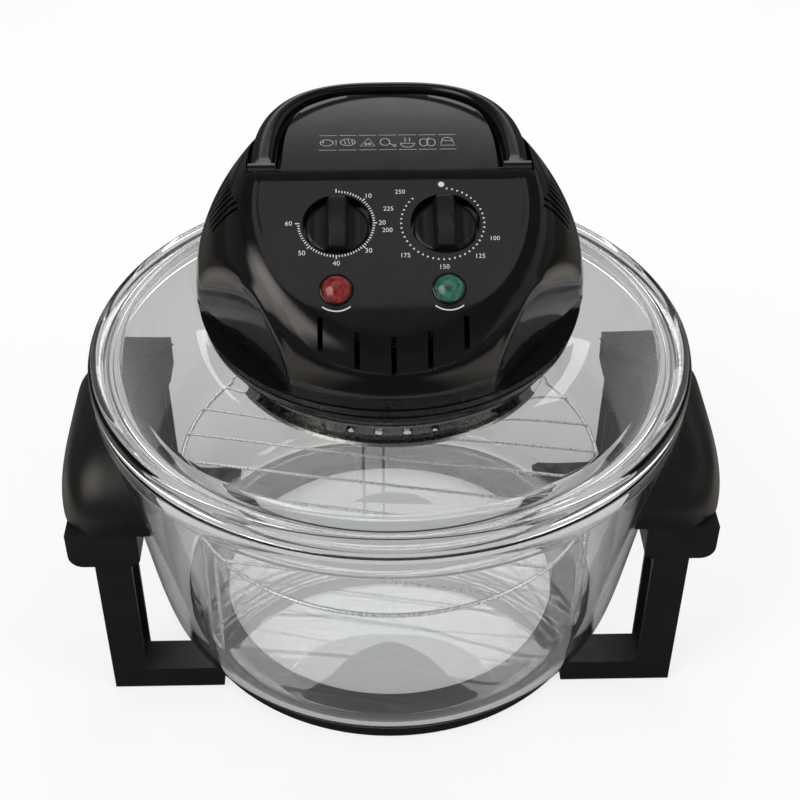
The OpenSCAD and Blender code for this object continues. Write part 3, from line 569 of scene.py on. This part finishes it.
def soft_max(a, b, k):
    """The larger of two fields, with the corner between them rounded over about k mm."""
    h = np.maximum(k - np.abs(a - b), 0) / k
    return np.maximum(a, b) + h * h * k / 4


def ease(v, low, high):
    """Rises smoothly from 0 at low to 1 at high."""
    t = np.clip((v - low) / (high - low), 0, 1)
    return t * t * (3 - 2 * t)


def head_width(z):
    """The head's radius at a height."""
    return np.where(z >= HEAD_Z, HEAD_R * (1 - (np.maximum(z - HEAD_Z, 0) / 136) ** 2.05),
                    HEAD_R - 4.3 * (np.maximum(HEAD_Z - z, 0) / 20) ** 1.6)


def console_depth(p):
    """Height over the console's three flat faces, in mm: 0 on them, below 0 under them."""
    x, y, z = p.T
    apron = (z - FOLD_Z) * math.cos(APRON) - (y - FOLD_Y) * math.sin(APRON)
    face = (z - FOLD_Z) * math.cos(FACE) - (y - FOLD_Y) * math.sin(FACE)
    deck = (z - BROW_Z) * math.cos(DECK) - (y - BROW_Y) * math.sin(DECK)
    return soft_max(soft_max(apron, face, 4), deck, 1.5)


def head_field(p, shrink):
    """Roughly the distance in mm outside the housing's skin, below 0 inside."""
    x, y, z = p.T
    inside = head_width(z) - np.hypot(x, y)
    dished = ease(inside, 5.0, 10.0) * ease(y, -81, -62) * FACE_SINK
    f = soft_max(-inside, console_depth(p) + dished, 8)
    across = np.abs(x) * math.sin(POCKET_TURN) - y * math.cos(POCKET_TURN) - POCKET_R
    return soft_max(f, across - (z - HEAD_Z) * math.tan(POCKET_LEAN), 2.5) + shrink


def bearing(around, tilt):
    """Unit vectors from an angle round the axis, 0 at the front, and a tilt from straight up."""
    flat = np.sin(tilt)
    return np.stack([flat * np.sin(around), -flat * np.cos(around), np.cos(tilt)], 1)


def skin_points(around, tilt, shrink):
    """Where the rays from the middle of the head's joint meet the housing's skin."""
    d = bearing(around, tilt)
    near, far = np.zeros(len(d)), np.full(len(d), 160.0)
    for _ in range(24):
        middle = (near + far) / 2
        outside = head_field(HEAD_MIDDLE + d * middle[:, None], shrink) > 0
        far = np.where(outside, middle, far)
        near = np.where(outside, near, middle)
    return HEAD_MIDDLE + d * near[:, None], d


HEAD_MIDDLE = np.array([0.0, 0.0, HEAD_Z])
POCKET_TURN, POCKET_R, POCKET_LEAN = math.radians(54), 95.6, math.radians(2.5)
# the ledge under each flat pocket, as distance out from the axis and height
POCKET_LEDGE = [(95.3, 225.6), (95.95, 240), (130, 240), (130, 218.2)]
CREASE_ROWS = [0, 0.12, 0.3, 0.5, 0.8, 1.3, 2.2, 3.6, 5.4]


def crease_drop(around):
    """How far under the console's faces its edge line runs, deeper at the front."""
    return 5.8 - 3.7 * ease(np.abs(around), math.radians(15), math.radians(37))


def crease_tilt(around):
    """The tilt at which the skin has dropped to the console's edge line, for each angle."""
    low, high = np.full(len(around), math.radians(8)), np.full(len(around), math.radians(86))
    for _ in range(18):
        middle = (low + high) / 2
        above = console_depth(skin_points(around, middle, 0)[0]) > -crease_drop(around)
        low = np.where(above, middle, low)
        high = np.where(above, high, middle)
    return low


def head_skin(shrink, floor, around, rows, crease=False):
    """The upper half of a ball pulled out to the housing's skin. Its rows gather at the console's
    edge line, where the skin steps down in a fine lip."""
    bm = bmesh.new()
    bmesh.ops.create_uvsphere(bm, u_segments=around, v_segments=2 * rows, radius=1)
    bmesh.ops.delete(bm, geom=[v for v in bm.verts if v.co.z < -1e-4], context="VERTS")
    bmesh.ops.holes_fill(bm, edges=[e for e in bm.edges if e.is_boundary], sides=0)
    start = np.array([v.co[:] for v in bm.verts])
    angle = np.arctan2(start[:, 0], -start[:, 1])
    share = np.arccos(np.clip(start[:, 2], -1, 1)) / (math.pi / 2)
    if crease:
        turn, inverse = np.unique(np.round(angle, 5), return_inverse=True)
        edge = crease_tilt(turn)[inverse]
        tight = np.array(CREASE_ROWS) / 92.0
        upper, k = round(rows * 0.6), np.round(share * rows)
        n = len(tight)
        tilt = np.where(
            k <= upper - n, k / (upper - n + 1) * (edge - tight[-1]),
            np.where(k <= upper, edge - np.interp(upper - k, np.arange(n), tight),
                     np.where(k < upper + n, edge + np.interp(k - upper, np.arange(n), tight),
                              edge + tight[-1] + (k - upper - n + 1) / (rows - upper - n + 1)
                              * (math.pi / 2 - edge - tight[-1]))))
    else:
        tilt = share * math.pi / 2
    p, d = skin_points(angle, tilt, shrink)
    if crease:
        p = p + d * console_lip(p, (tilt - edge) * 92.0)[:, None] + d * cheek_folds(p)[:, None]
    for v, q, s in zip(bm.verts, p, share):
        v.co = (q[0], q[1], floor if s > 0.999 else max(q[2], floor))
    return bm


def console_lip(p, beyond):
    """A lip above the console's edge line and a shallow gutter below it, on the front half."""
    over = 1.1 * np.exp(np.minimum(beyond, 0) / 3.5)
    under = -1.1 * np.exp(-np.maximum(beyond, 0) / 6)
    return (over + (under - over) * ease(beyond, -0.5, 0.5)) * ease(-p[:, 1], 4, 14)


CHEEK_RIDGE = [(-50, 272), (-44, 270), (-38, 262), (-33.5, 252), (-30, 241), (-27.5, 226)]


def cheek_folds(p):
    """The soft ridge that borders the flat hollow in each front cheek."""
    ridge = []
    for turn, z in curve_through(CHEEK_RIDGE, 12):
        a, r = math.radians(turn), float(head_width(np.array(z)))
        ridge.append((r * math.sin(a), -r * math.cos(a), z))
    q = np.stack([-np.abs(p[:, 0]), p[:, 1], p[:, 2]], 1)
    away = np.full(len(p), 1e9)
    for point in ridge:
        away = np.minimum(away, np.linalg.norm(q - np.array(point), axis=1))
    return 1.0 * np.exp(-(away / 2.4) ** 2)


def deck_height(y, drop=0.0):
    return BROW_Z + (y - BROW_Y) * math.tan(DECK) - drop / math.cos(DECK)


def arch(half_w, back, power, steps=24):
    """Half a rounded rectangle, from the brow round the back and to the brow again."""
    points = []
    for i in range(2 * steps + 1):
        a = math.radians(i * 90 / steps)
        points.append((half_w * spow(math.cos(a), 2 / power),
                       BROW_Y + (back - BROW_Y) * abs(math.sin(a)) ** (2 / power)))
    return points


def channel_tool(grow, depth):
    """The cutter for the channel that the handle lies in."""
    outer = arch(HANDLE_X + 1.6 + grow, HANDLE_BACK + 1 + grow, 2.9)
    inner = arch(DECK_HALF - grow, DECK_BACK - grow, 3.6)
    front = PIVOT_Y - HANDLE_T / 2 - 0.7 - grow
    outer = [q for q in outer if q[1] > front]
    inner = [q for q in inner if q[1] > front]
    outline = [(outer[0][0], front)] + outer + [(outer[-1][0], front),
               (inner[-1][0], front)] + inner[::-1] + [(inner[0][0], front)]
    return prism(outline, lambda x, y: deck_height(y, depth), lambda x, y: 340)


def knob_frame(side):
    return (Matrix.Translation((side * KNOB_X, KNOB_Y, KNOB_Z)) @ Matrix.Rotation(FACE, 4, "X"))


def lens_frame(side):
    return (Matrix.Translation((side * LENS_X, LENS_Y, LENS_Z)) @ Matrix.Rotation(APRON, 4, "X"))


SLOT_W, SLOT_PITCH = 2.6, 18
LOUVRES, LOUVRE_W, LOUVRE_PITCH, LOUVRE_LEAN = 14, 1.9, 4.8, math.radians(21)
LOUVRE_Y, LOUVRE_Z = -24, 286.5
INLET_Z = 246


def vent_tools():
    """Cutters for the front slots, the louvres in both sides, the rear slots and the inlet."""
    parts = []
    for i in range(-2, 3):
        tall = 14.5 - 0.6 * i * i
        foot = HEAD_Z + 15 + 2.1 * i * i
        parts.append(block((SLOT_W, 46, tall), (SLOT_PITCH * i, LENS_Y - 23, foot + tall / 2)))
    for side in (-1, 1):
        for i in range(LOUVRES):
            place = (side * 98, LOUVRE_Y + LOUVRE_PITCH * i, LOUVRE_Z - 0.25 * i)
            parts.append(block((40, LOUVRE_W, 22), place, Matrix.Rotation(LOUVRE_LEAN, 4, "X")))
    for i in range(-4, 5):
        turn = Matrix.Rotation(math.radians(i * 7), 4, "Z")
        parts.append(block((2.4, 60, 18), turn @ Vector((0, 100, 275)), turn))
    parts.append(block((26.2, 60, 18.2), (0, 90, INLET_Z)))
    return joined(parts)


seat = block((38, 34, 30), (0, 87, INLET_Z))
outer = cut(head_skin(0, HEAD_Z, 400, 150, crease=True), [seat], "UNION")
behind_seat = block((60, 20, 40), (0, 114, INLET_Z))
outer = cut(outer, [behind_seat, channel_tool(0, CHANNEL_D)]
            + [rod(WELL_R, -WELL_D, 20, knob_frame(s), 96) for s in (-1, 1)]
            + [rod(LENS_R + 0.5, -3.4, 20, lens_frame(s), 64) for s in (-1, 1)])
hollow = cut(head_skin(2.8, HEAD_Z - 5, 120, 50), [channel_tool(2.6, CHANNEL_D + 2.6)]
             + [rod(WELL_R + 2, -WELL_D - 2, 20, knob_frame(s), 48) for s in (-1, 1)])
housing = cut(outer, [hollow, vent_tools()])
finished("head_housing", housing, "lid", GLOSS,
         ("head_shell", "raised_deck", "control_panel"), 32)


skirt = [(float(head_width(np.array(z))) - sink, z) for z, sink in (
    (FOOT_Z, 1.2), (FOOT_Z + 0.5, 0.4), (FOOT_Z + 1.3, 0), (FOOT_Z + 5.6, 0), (FOOT_Z + 5.8, 1.1),
    (FOOT_Z + 6.9, 1.1), (FOOT_Z + 7.1, 0), (FOOT_Z + 11.4, 0), (FOOT_Z + 11.6, 1.1),
    (FOOT_Z + 12.7, 1.1), (FOOT_Z + 12.9, 0), (FOOT_Z + 19.6, 0), (HEAD_Z - 0.1, 0.3))]
skirt += [(92, HEAD_Z - 0.1), (92, FOOT_Z + 2.6), (7, FOOT_Z + 2.6), (7, FOOT_Z)]
ledges = []
for side in (-1, 1):
    away = Vector((side * math.sin(POCKET_TURN), -math.cos(POCKET_TURN), 0))
    turn = Matrix((away, Vector((0, 0, 1)), away.cross(Vector((0, 0, 1))))).transposed().to_4x4()
    ledge = prism(POCKET_LEDGE, lambda x, y: -75, lambda x, y: 75)
    bmesh.ops.transform(ledge, matrix=turn, verts=ledge.verts)
    ledges.append(ledge)
finished("head_skirt", cut(turned(skirt, 240), ledges), "lid", SKIRT,
         ("head_base",), 32)


# ---- carry handle -----------------------------------------------------------------------------

def handle_section(a, count=20):
    """A ring of points round the handle at an angle along its arch."""
    outer_p = np.array([HANDLE_X * spow(math.cos(a), 2 / 2.75),
                        (HANDLE_BACK - PIVOT_Y) * math.sin(a) ** (2 / 2.75)])
    inner_p = np.array([(HANDLE_X - HANDLE_W) * spow(math.cos(a), 2 / 3.2),
                        (HANDLE_BACK - PIVOT_Y - 8) * math.sin(a) ** (2 / 3.2)])
    mid, half = (outer_p + inner_p) / 2, (outer_p - inner_p) / 2
    ring = []
    for k in range(count):
        b = math.tau * k / count
        u, v = spow(math.cos(b), 0.72), spow(math.sin(b), 0.72)
        x, y, z = mid[0] + half[0] * u, mid[1] + half[1] * u, v * HANDLE_T / 2
        ring.append((x, PIVOT_Y + y * math.cos(DECK) - z * math.sin(DECK),
                     PIVOT_Z + y * math.sin(DECK) + z * math.cos(DECK)))
    return ring


arc = swept([handle_section(math.pi * k / 90) for k in range(91)])
hubs = [rod(HANDLE_T / 2 + 0.3, -(HANDLE_W + 0.6) / 2, (HANDLE_W + 0.6) / 2,
            Matrix.Translation((s * (HANDLE_X - HANDLE_W / 2), PIVOT_Y, PIVOT_Z))
            @ Matrix.Rotation(math.pi / 2, 4, "Y"), 48) for s in (-1, 1)]
handle = cut(arc, hubs, "UNION")
finished("handle_arch", handle, "handle", HANDLE, ("carry_handle",), 40)


# ---- knobs ------------------------------------------------------------------------------------

def knob_skin(y, count=36):
    """Section across the knob at y: a disc with a grip bar that rises from two finger hollows."""
    half = math.sqrt(max(KNOB_R ** 2 - y * y, 0.2))
    bar = 5 - y * y / 110 + 3 if abs(y) < KNOB_R - 1.05 else 0.0
    ring = []
    for k in range(count + 1):
        x = -half + 2 * half * k / count
        side = abs(x)
        wall = 1 - float(ease(np.array(side), 4.2, 5.9))
        dish = 1.2 * math.sin(math.pi * min(1, max(0, (side - 5.2) / (KNOB_R - 6)))) if bar else 0
        edge = 1.0 * float(ease(np.array(math.hypot(x, y)), KNOB_R - 1.4, KNOB_R))
        ring.append((x, y, -WELL_D + 4 + bar * wall - dish * (1 - wall) - edge))
    ring += [(half, y, -WELL_D + 0.5), (-half, y, -WELL_D + 0.5)]
    return ring


def knob(side):
    ends = [-KNOB_R + step for step in (0.01, 0.25, 0.6, 1.0, 1.1, 1.5)]
    middle = list(np.linspace(-KNOB_R + 2.2, KNOB_R - 2.2, 25))
    places = ends + middle + [-e for e in reversed(ends)]
    bm = swept([knob_skin(y) for y in places])
    bmesh.ops.transform(bm, matrix=knob_frame(side), verts=bm.verts)
    return bm


finished("timer_grip", knob(-1), "timer", KNOB, ("timer_knob",), 30)
finished("temperature_grip", knob(1), "temperature", KNOB, ("temp_knob",), 30)


# ---- printed marks, lenses and their bezels ----------------------------------------------------

PRINT_T = 0.05


def printed_bar(length, width, x, y, turn=0.0):
    """A printed bar on a plane of its own, its middle at x, y."""
    bm = block((width, length, PRINT_T), (0, 0, PRINT_T / 2))
    bmesh.ops.rotate(bm, cent=(0, 0, 0), matrix=Matrix.Rotation(turn, 3, "Z"), verts=bm.verts)
    bmesh.ops.translate(bm, vec=(x, y, 0), verts=bm.verts)
    return bm


def printed_line(points, width, closed=False):
    """A printed line of even width through points of a plane."""
    p = [np.array(q, float) for q in points]
    n = len(p)
    sections = []
    for i in range(n + (1 if closed else 0)):
        a = p[(i - 1) % n] if closed else p[max(i - 1, 0)]
        b = p[(i + 1) % n] if closed else p[min(i + 1, n - 1)]
        along = (b - a) / max(np.hypot(*(b - a)), 1e-6)
        across = np.array([-along[1], along[0]]) * width / 2
        left, right = p[i % n] + across, p[i % n] - across
        sections.append([(left[0], left[1], 0), (right[0], right[1], 0),
                         (right[0], right[1], PRINT_T), (left[0], left[1], PRINT_T)])
    return swept(sections)


def printed_number(words, size, x, y):
    letters = bpy.data.curves.new("number", "FONT")
    letters.body, letters.size, letters.extrude = words, size, PRINT_T / 2
    letters.align_x, letters.align_y = "CENTER", "CENTER"
    letters.resolution_u = 3
    work = bpy.data.objects.new("number", letters)
    bpy.context.scene.collection.objects.link(work)
    bpy.context.view_layer.update()
    mesh = evaluated_mesh(work)
    bm = bmesh.new()
    bm.from_mesh(mesh)
    bmesh.ops.remove_doubles(bm, verts=bm.verts, dist=1e-5)
    bmesh.ops.translate(bm, vec=(x, y, PRINT_T / 2), verts=bm.verts)
    bpy.data.objects.remove(work)
    bpy.data.curves.remove(letters)
    bpy.data.meshes.remove(mesh)
    return bm


def clockwise(radius, degrees):
    a = math.radians(degrees)
    return radius * math.sin(a), radius * math.cos(a)


timer_marks = []
for minute in range(0, 61):
    turn = minute * 4.5
    tall = 2.2 if minute % 10 == 0 else 1.2
    timer_marks.append(printed_bar(tall, 0.62, *clockwise(18.5 + tall / 2, turn),
                                   -math.radians(turn)))
for minute, radius in ((10, 23.0), (20, 23.2), (30, 22.9), (40, 23.2), (50, 24.4), (60, 24.0)):
    timer_marks.append(printed_number(str(minute), 3.8, *clockwise(radius, minute * 4.5)))
heat_marks = []
for k in range(1, 43):
    heat_marks.append(printed_bar(1.0, 0.75, *clockwise(21.0, k * 7.5), -math.radians(k * 7.5)))
dot = bmesh.new()
bmesh.ops.create_cone(dot, cap_ends=True, segments=24, radius1=1.6, radius2=1.6, depth=PRINT_T)
bmesh.ops.translate(dot, vec=(0, 23.4, PRINT_T / 2), verts=dot.verts)
heat_marks.append(dot)
for heat, turn, radius in ((100, 110, 27.5), (125, 137, 26.5), (150, 180, 25.2), (175, 226, 26.8),
                           (200, 262, 28.2), (225, 288, 28.6), (250, 312, 28.4)):
    heat_marks.append(printed_number(str(heat), 3.6, *clockwise(radius, turn)))


def settled(parts, matrix, aside=(0.0, 0.0)):
    """Flat marks placed by a frame and lowered onto the skin under them."""
    bm = joined(parts)
    bmesh.ops.translate(bm, vec=(*aside, 0), verts=bm.verts)
    flat = np.array([v.co[:] for v in bm.verts])
    turn = np.array(matrix.to_3x3())
    base = flat[:, :2] @ turn[:, :2].T + np.array(matrix.translation)
    for _ in range(8):
        base = base - turn[:, 2] * head_field(base, 0)[:, None]
    for v, q in zip(bm.verts, base + turn[:, 2] * (flat[:, 2:] + 0.03)):
        v.co = q
    return bm


for name, marks, side, aside in (("timer_scale", timer_marks, -1, (-0.5, 0.5)),
                                 ("temperature_scale", heat_marks, 1, (-1.4, 0))):
    finished(name, settled(marks, knob_frame(side), aside), "lid", PRINT)

arcs = []
for side in (-1, 1):
    sweep = [clockwise(11.4, 180 + a) for a in np.linspace(-38, 38, 17)]
    arcs.append(settled([printed_line(sweep, 0.7)], lens_frame(side)))
finished("lens_arcs", joined(arcs), "lid", PRINT)


def oval(rx, ry, x=0.0, y=0.0, first=0, last=360, steps=20):
    return [(x + rx * math.cos(math.radians(a)), y + ry * math.sin(math.radians(a)))
            for a in np.linspace(first, last, steps, endpoint=last - first < 360)]


# plain food signs, drawn round their own middle, as lines that are closed or open
SIGNS = [
    [(oval(2.9, 1.6, -0.6), True), ([(2.1, 0), (3.8, 1.4), (3.8, -1.4)], True),
     (oval(0.3, 0.3, -2.2, 0.3), True)],
    [(oval(3.4, 1.7, 0, 0.2), True), ([(-1.6, 1.2), (-0.9, -0.9)], False),
     ([(0.2, 1.4), (0.9, -0.9)], False), ([(1.8, 1.1), (2.3, -0.5)], False)],
    [([(-3.4, -1.8), (3.4, -1.8), (0.4, 2.2)], True), (oval(0.5, 0.5, -0.8, -0.8), True),
     (oval(0.5, 0.5, 0.9, -0.7), True)],
    [(oval(2.2, 1.8, -1.2, 0.2), True), ([(0.8, -0.6), (2.8, -1.6)], False),
     (oval(0.6, 0.5, 3.2, -1.7), True)],
    [(oval(3.2, 2.0, 0, -0.6, 180, 360), False), ([(-3.6, -0.6), (3.6, -0.6)], False),
     ([(-1.2, 0.4), (-0.8, 1.4), (-1.2, 2.3)], False),
     ([(0.8, 0.4), (1.2, 1.4), (0.8, 2.3)], False)],
    [(oval(1.9, 1.9, -1.7, -0.2), True), (oval(1.9, 1.9, 1.7, -0.2), True),
     ([(0, 1.2), (0.8, 2.4)], False)],
    [([(-3.2, -1.8), (3.2, -1.8), (2.4, 0.6), (-2.4, 0.6)], True),
     (oval(2.4, 1.7, 0, 0.6, 0, 180), False)]]
SIGN_Y, SIGN_STEP, SIGN_MIDDLE, SIGN_WIDER, SIGN_TALLER, SIGN_BAR = 16.0, 10.5, -0.8, 1.15, 1.8, 6.8
signs = []
for i, lines in enumerate(SIGNS):
    x = SIGN_MIDDLE + (i - 3) * SIGN_STEP
    for points, closed in lines:
        signs.append(printed_line([(x + px * SIGN_WIDER, SIGN_Y + py * SIGN_TALLER)
                                   for px, py in points], 0.45, closed))
    for y in (SIGN_Y - SIGN_BAR, SIGN_Y + SIGN_BAR):
        signs.append(printed_bar(0.35, 9.2, x, y))
deck_frame = (Matrix.Translation((0, BROW_Y, BROW_Z)) @ Matrix.Rotation(DECK, 4, "X")
              @ Matrix.Translation((0, -BROW_Y, 0)))
finished("deck_signs", settled(signs, deck_frame), "lid", PRINT_FAINT)

# outlines of (radius, height) over the apron
BEZEL = [(7.3, -0.4), (7.35, 0.15), (7.7, 0.4), (8.2, 0.2), (8.65, -0.7), (8.65, -3), (8.1, -3.1),
         (8.1, -1.4)]
LENS = [(0, -3.2), (7.9, -3.2), (7.9, -1.5), (7.6, -0.6), (7.2, 0.1), (6.6, 0.8), (5.8, 1.4),
        (4.7, 1.95), (3.2, 2.4), (1.6, 2.65), (0, 2.72)]
bezels = []
for side, name, node, slot, colour in ((-1, "power_light", "power_lens", "red_lens", RED_LENS),
                                       (1, "heat_light", "heat_lens", "green_lens", GREEN_LENS)):
    lens = turned(LENS, 64)
    bmesh.ops.transform(lens, matrix=lens_frame(side), verts=lens.verts)
    finished(name, lens, "lid", colour, (node,), 50)
    ring = turned(BEZEL, 64)
    bmesh.ops.transform(ring, matrix=lens_frame(side), verts=ring.verts)
    bezels.append(ring)
finished("lens_bezels", joined(bezels), "lid", GLOSS)


# ---- ears of the stand ------------------------------------------------------------------------

def ear_section(t, count=40):
    """Outline of an ear at height share t: full at the front, sloping down to the back."""
    s = (1 - t ** 2.3) ** (1 / 2.3)
    front, back = 92 * s, 84 * (1 - t) ** 1.3
    inner = POST_X - 23.5
    ring = [(POST_X - 10 + EAR_REACH * s * math.cos(a) ** 0.5,
             (front if a < 0 else back) * spow(math.sin(a), 0.5), EAR_Z + t * EAR_H)
            for a in np.linspace(-math.pi / 2, math.pi / 2, count)]
    return ring + [(inner, back, EAR_Z + t * EAR_H), (inner, -front, EAR_Z + t * EAR_H)]


def bowl_room(gap):
    """The space the bowl takes, grown by a gap."""
    side = [(r + gap, z) for r, z in bowl_side]
    return turned([(0, 60), (148 + gap, 60)] + [q for q in side if q[1] > 62]
                  + [(166.5 + gap, RIM_Z + 20), (0, RIM_Z + 20)], 160)


def ear():
    shares = [0, 0.015, 0.03] + list(np.linspace(0.06, 0.84, 22)) + [0.87, 0.895]
    skin = swept([ear_section(t) for t in shares])
    return cut(skin, [bowl_room(1.4)])


def mirrored_copy(bm):
    bmesh.ops.scale(bm, vec=(-1, 1, 1), verts=bm.verts)
    bmesh.ops.reverse_faces(bm, faces=bm.faces)
    return bm


finished("ear_right", ear(), "stand", EARS, ("right_ear",), 38)
finished("ear_left", mirrored_copy(ear()), "stand", EARS, ("left_ear",), 38)


# ---- floor, light and camera ------------------------------------------------------------------

def floor_material():
    """White where it is seen, dimmer through glass, and where gloss mirrors it a painted
    reflection: it glows brown at the sides and stays dark in front.
    """
    material, tree, shader, place = start_material("floor_pale", Base_Color=(0.86, 0.86, 0.86, 1),
                                                   Roughness=0.9)
    fine = add(tree, "ShaderNodeTexNoise", in_Scale=300.0)
    link(tree, place, fine, "Vector")
    link(tree, ranged(tree, fine.outputs["Fac"], 0.88, 0.92), shader, "Roughness")
    path = add(tree, "ShaderNodeLightPath").outputs
    through_glass = path["Is Transmission Ray"]
    seen = math_node(tree, "ADD", product(tree, path["Is Camera Ray"], 0.75),
                     product(tree, through_glass, 0.55))
    glow = add(tree, "ShaderNodeEmission", in_Strength=1.0)
    link(tree, blended(tree, through_glass, (1, 1, 1), (0.4, 0.39, 0.38)), glow, "Color")
    apart = add(tree, "ShaderNodeSeparateXYZ")
    link(tree, place, apart, "Vector")
    reach = add(tree, "ShaderNodeVectorMath", operation="LENGTH")
    link(tree, place, reach, 0)
    sideways = math_node(tree, "ABSOLUTE", apart.outputs["X"])
    # Painted reflection: for glossy rays only, the floor glows brown at the sides, stays dark in
    # front and fades with distance, so the gloss housing mirrors it.
    reflected_glow_share = product(tree, ranged(tree, sideways, 0.0, 1.0, 0.22, 0.46),
                    ranged(tree, reach.outputs["Value"], 1.0, 0.0, 1.0, 1.4),
                    ranged(tree, apart.outputs["Y"], 1.0, 0.1, 0.15, 0.3))
    reflection_glow = add(tree, "ShaderNodeEmission", in_Strength=1.0)
    link(tree, blended(tree, reflected_glow_share, (0.045, 0.043, 0.04), (0.62, 0.57, 0.5)), reflection_glow, "Color")
    mirrored = math_node(tree, "SUBTRACT", path["Is Glossy Ray"], through_glass, clamp=True)
    plain = mixed(tree, seen, shader.outputs["BSDF"], glow.outputs["Emission"])
    link(tree, mixed(tree, mirrored, plain, reflection_glow.outputs["Emission"]),
         tree.nodes["Material Output"], "Surface")
    return material


bm = bmesh.new()
bmesh.ops.create_circle(bm, cap_ends=True, segments=96, radius=6)
mesh = bpy.data.meshes.new("floor")
bm.to_mesh(mesh)
bm.free()
floor = bpy.data.objects.new("floor", mesh)
bpy.context.scene.collection.objects.link(floor)
mesh.materials.append(floor_material())


def level_ramp(tree, value, stops):
    """A brightness that follows a value from stop to stop."""
    node = add(tree, "ShaderNodeValToRGB")
    link(tree, value, node, "Fac")
    ramp = node.color_ramp
    for place, level in stops[1:-1]:
        ramp.elements.new(place)
    for element, (place, level) in zip(ramp.elements, stops):
        element.position = place
        element.color = (level, level, level, 1)
    return node.outputs["Color"]


def span(tree, value, low, high, soft):
    """1 where a value lies between low and high, with soft ends."""
    return product(tree, ranged(tree, value, 0.0, 1.0, low - soft, low + soft),
                   ranged(tree, value, 1.0, 0.0, high - soft, high + soft))


# What gloss sees of the room, as brightness by the height of its direction: dark above and in
# front, a pale wall behind and a ceiling overhead. A window at the left and a dull wall at the
# right are added below.
OVERHEAD = [(0.0, 0.1), (0.55, 0.1), (0.8, 0.05), (0.961, 0.05), (0.966, 0.16), (0.97, 0.42),
            (1.0, 0.47)]
BACK_WALL = [(0.0, 0.3), (0.3, 0.75), (0.56, 1.1), (0.604, 1.35), (0.616, 0.36), (0.636, 0.14),
             (0.66, 0.05), (1.0, 0.0)]

world = bpy.data.worlds.new("studio")
bpy.context.scene.world = world
world.use_nodes = True
tree = world.node_tree
lamp = tree.nodes["Background"]
lamp.inputs["Color"].default_value = (1, 1, 1, 1)
lamp.inputs["Strength"].default_value = 0.62
seen_white = add(tree, "ShaderNodeBackground", in_Strength=1.0)
mirrored = add(tree, "ShaderNodeBackground", in_Strength=1.0)
split = add(tree, "ShaderNodeSeparateXYZ")
link(tree, add(tree, "ShaderNodeTexCoord").outputs["Generated"], split, "Vector")
aside, behind, height = (split.outputs[axis] for axis in "XYZ")
wall = product(tree, level_ramp(tree, height, BACK_WALL), span(tree, aside, -0.19, 0.19, 0.05),
               ranged(tree, behind, 0.0, 1.0, 0.2, 0.45))
window = product(tree, span(tree, aside, -0.8, -0.25, 0.06), span(tree, behind, -0.7, -0.08, 0.08),
                 span(tree, height, 0.4, 0.945, 0.03), ranged(tree, height, 0.8, 2.9, 0.41, 0.9))
right_wall = product(tree, span(tree, aside, 0.5, 1.2, 0.08), span(tree, height, 0.35, 0.7, 0.06))
brown = add(tree, "ShaderNodeVectorMath", operation="SCALE")
brown.inputs[0].default_value = (1.0, 0.93, 0.85)
link(tree, math_node(tree, "ADD", window, product(tree, right_wall, 0.2)), brown, "Scale")
total = add(tree, "ShaderNodeVectorMath", operation="ADD")
link(tree, math_node(tree, "ADD", level_ramp(tree, height, OVERHEAD), wall), total, 0)
link(tree, brown.outputs[0], total, 1)
link(tree, total.outputs[0], mirrored, "Color")
path = add(tree, "ShaderNodeLightPath").outputs
room = mixed(tree, path["Is Glossy Ray"], lamp.outputs["Background"],
             mirrored.outputs["Background"])
link(tree, blended(tree, path["Is Transmission Ray"], (1, 1, 1), (0.55, 0.55, 0.55)),
     seen_white, "Color")
seen = math_node(tree, "MAXIMUM", path["Is Camera Ray"], path["Is Transmission Ray"])
link(tree, mixed(tree, seen, room, seen_white.outputs["Background"]),
     tree.nodes["World Output"], "Surface")


def softbox(name, place, target, width, height, power):
    light = bpy.data.lights.new(name, "AREA")
    light.shape = "RECTANGLE"
    light.size, light.size_y = width, height
    light.energy = power
    lamp_object = bpy.data.objects.new(name, light)
    bpy.context.scene.collection.objects.link(lamp_object)
    lamp_object.location = place
    lamp_object.visible_glossy = False
    towards = Vector(target) - Vector(place)
    lamp_object.rotation_euler = towards.to_track_quat("-Z", "Y").to_euler()


softbox("key_softbox", (-1.1, -0.9, 1.7), (0, 0, 0.15), 0.9, 0.9, 16)
softbox("fill_softbox", (1.3, -0.6, 1.3), (0, 0, 0.15), 0.7, 1.1, 8)
softbox("back_softbox", (0.1, 1.3, 1.5), (0, 0, 0.2), 1.4, 0.5, 10)

ELEVATION, DISTANCE, TARGET_Z = math.radians(38.66), 0.850, 0.150
AZIMUTH, ROLL = math.radians(-1.2), math.radians(0.0)
camera = bpy.data.cameras.new("camera")
camera.lens, camera.sensor_width = 65.14, 36.0
camera.shift_x, camera.shift_y = 0.0129, -0.0060
viewer = bpy.data.objects.new("camera", camera)
bpy.context.scene.collection.objects.link(viewer)
back = Vector((math.sin(AZIMUTH) * math.cos(ELEVATION), -math.cos(AZIMUTH) * math.cos(ELEVATION),
               math.sin(ELEVATION)))
viewer.location = Vector((0, 0, TARGET_Z)) + back * DISTANCE
viewer.rotation_euler = (back.to_track_quat("Z", "Y").to_matrix().to_4x4()
                         @ Matrix.Rotation(ROLL, 4, "Z")).to_euler()
bpy.context.scene.camera = viewer
bpy.context.scene.view_settings.view_transform = "Standard"
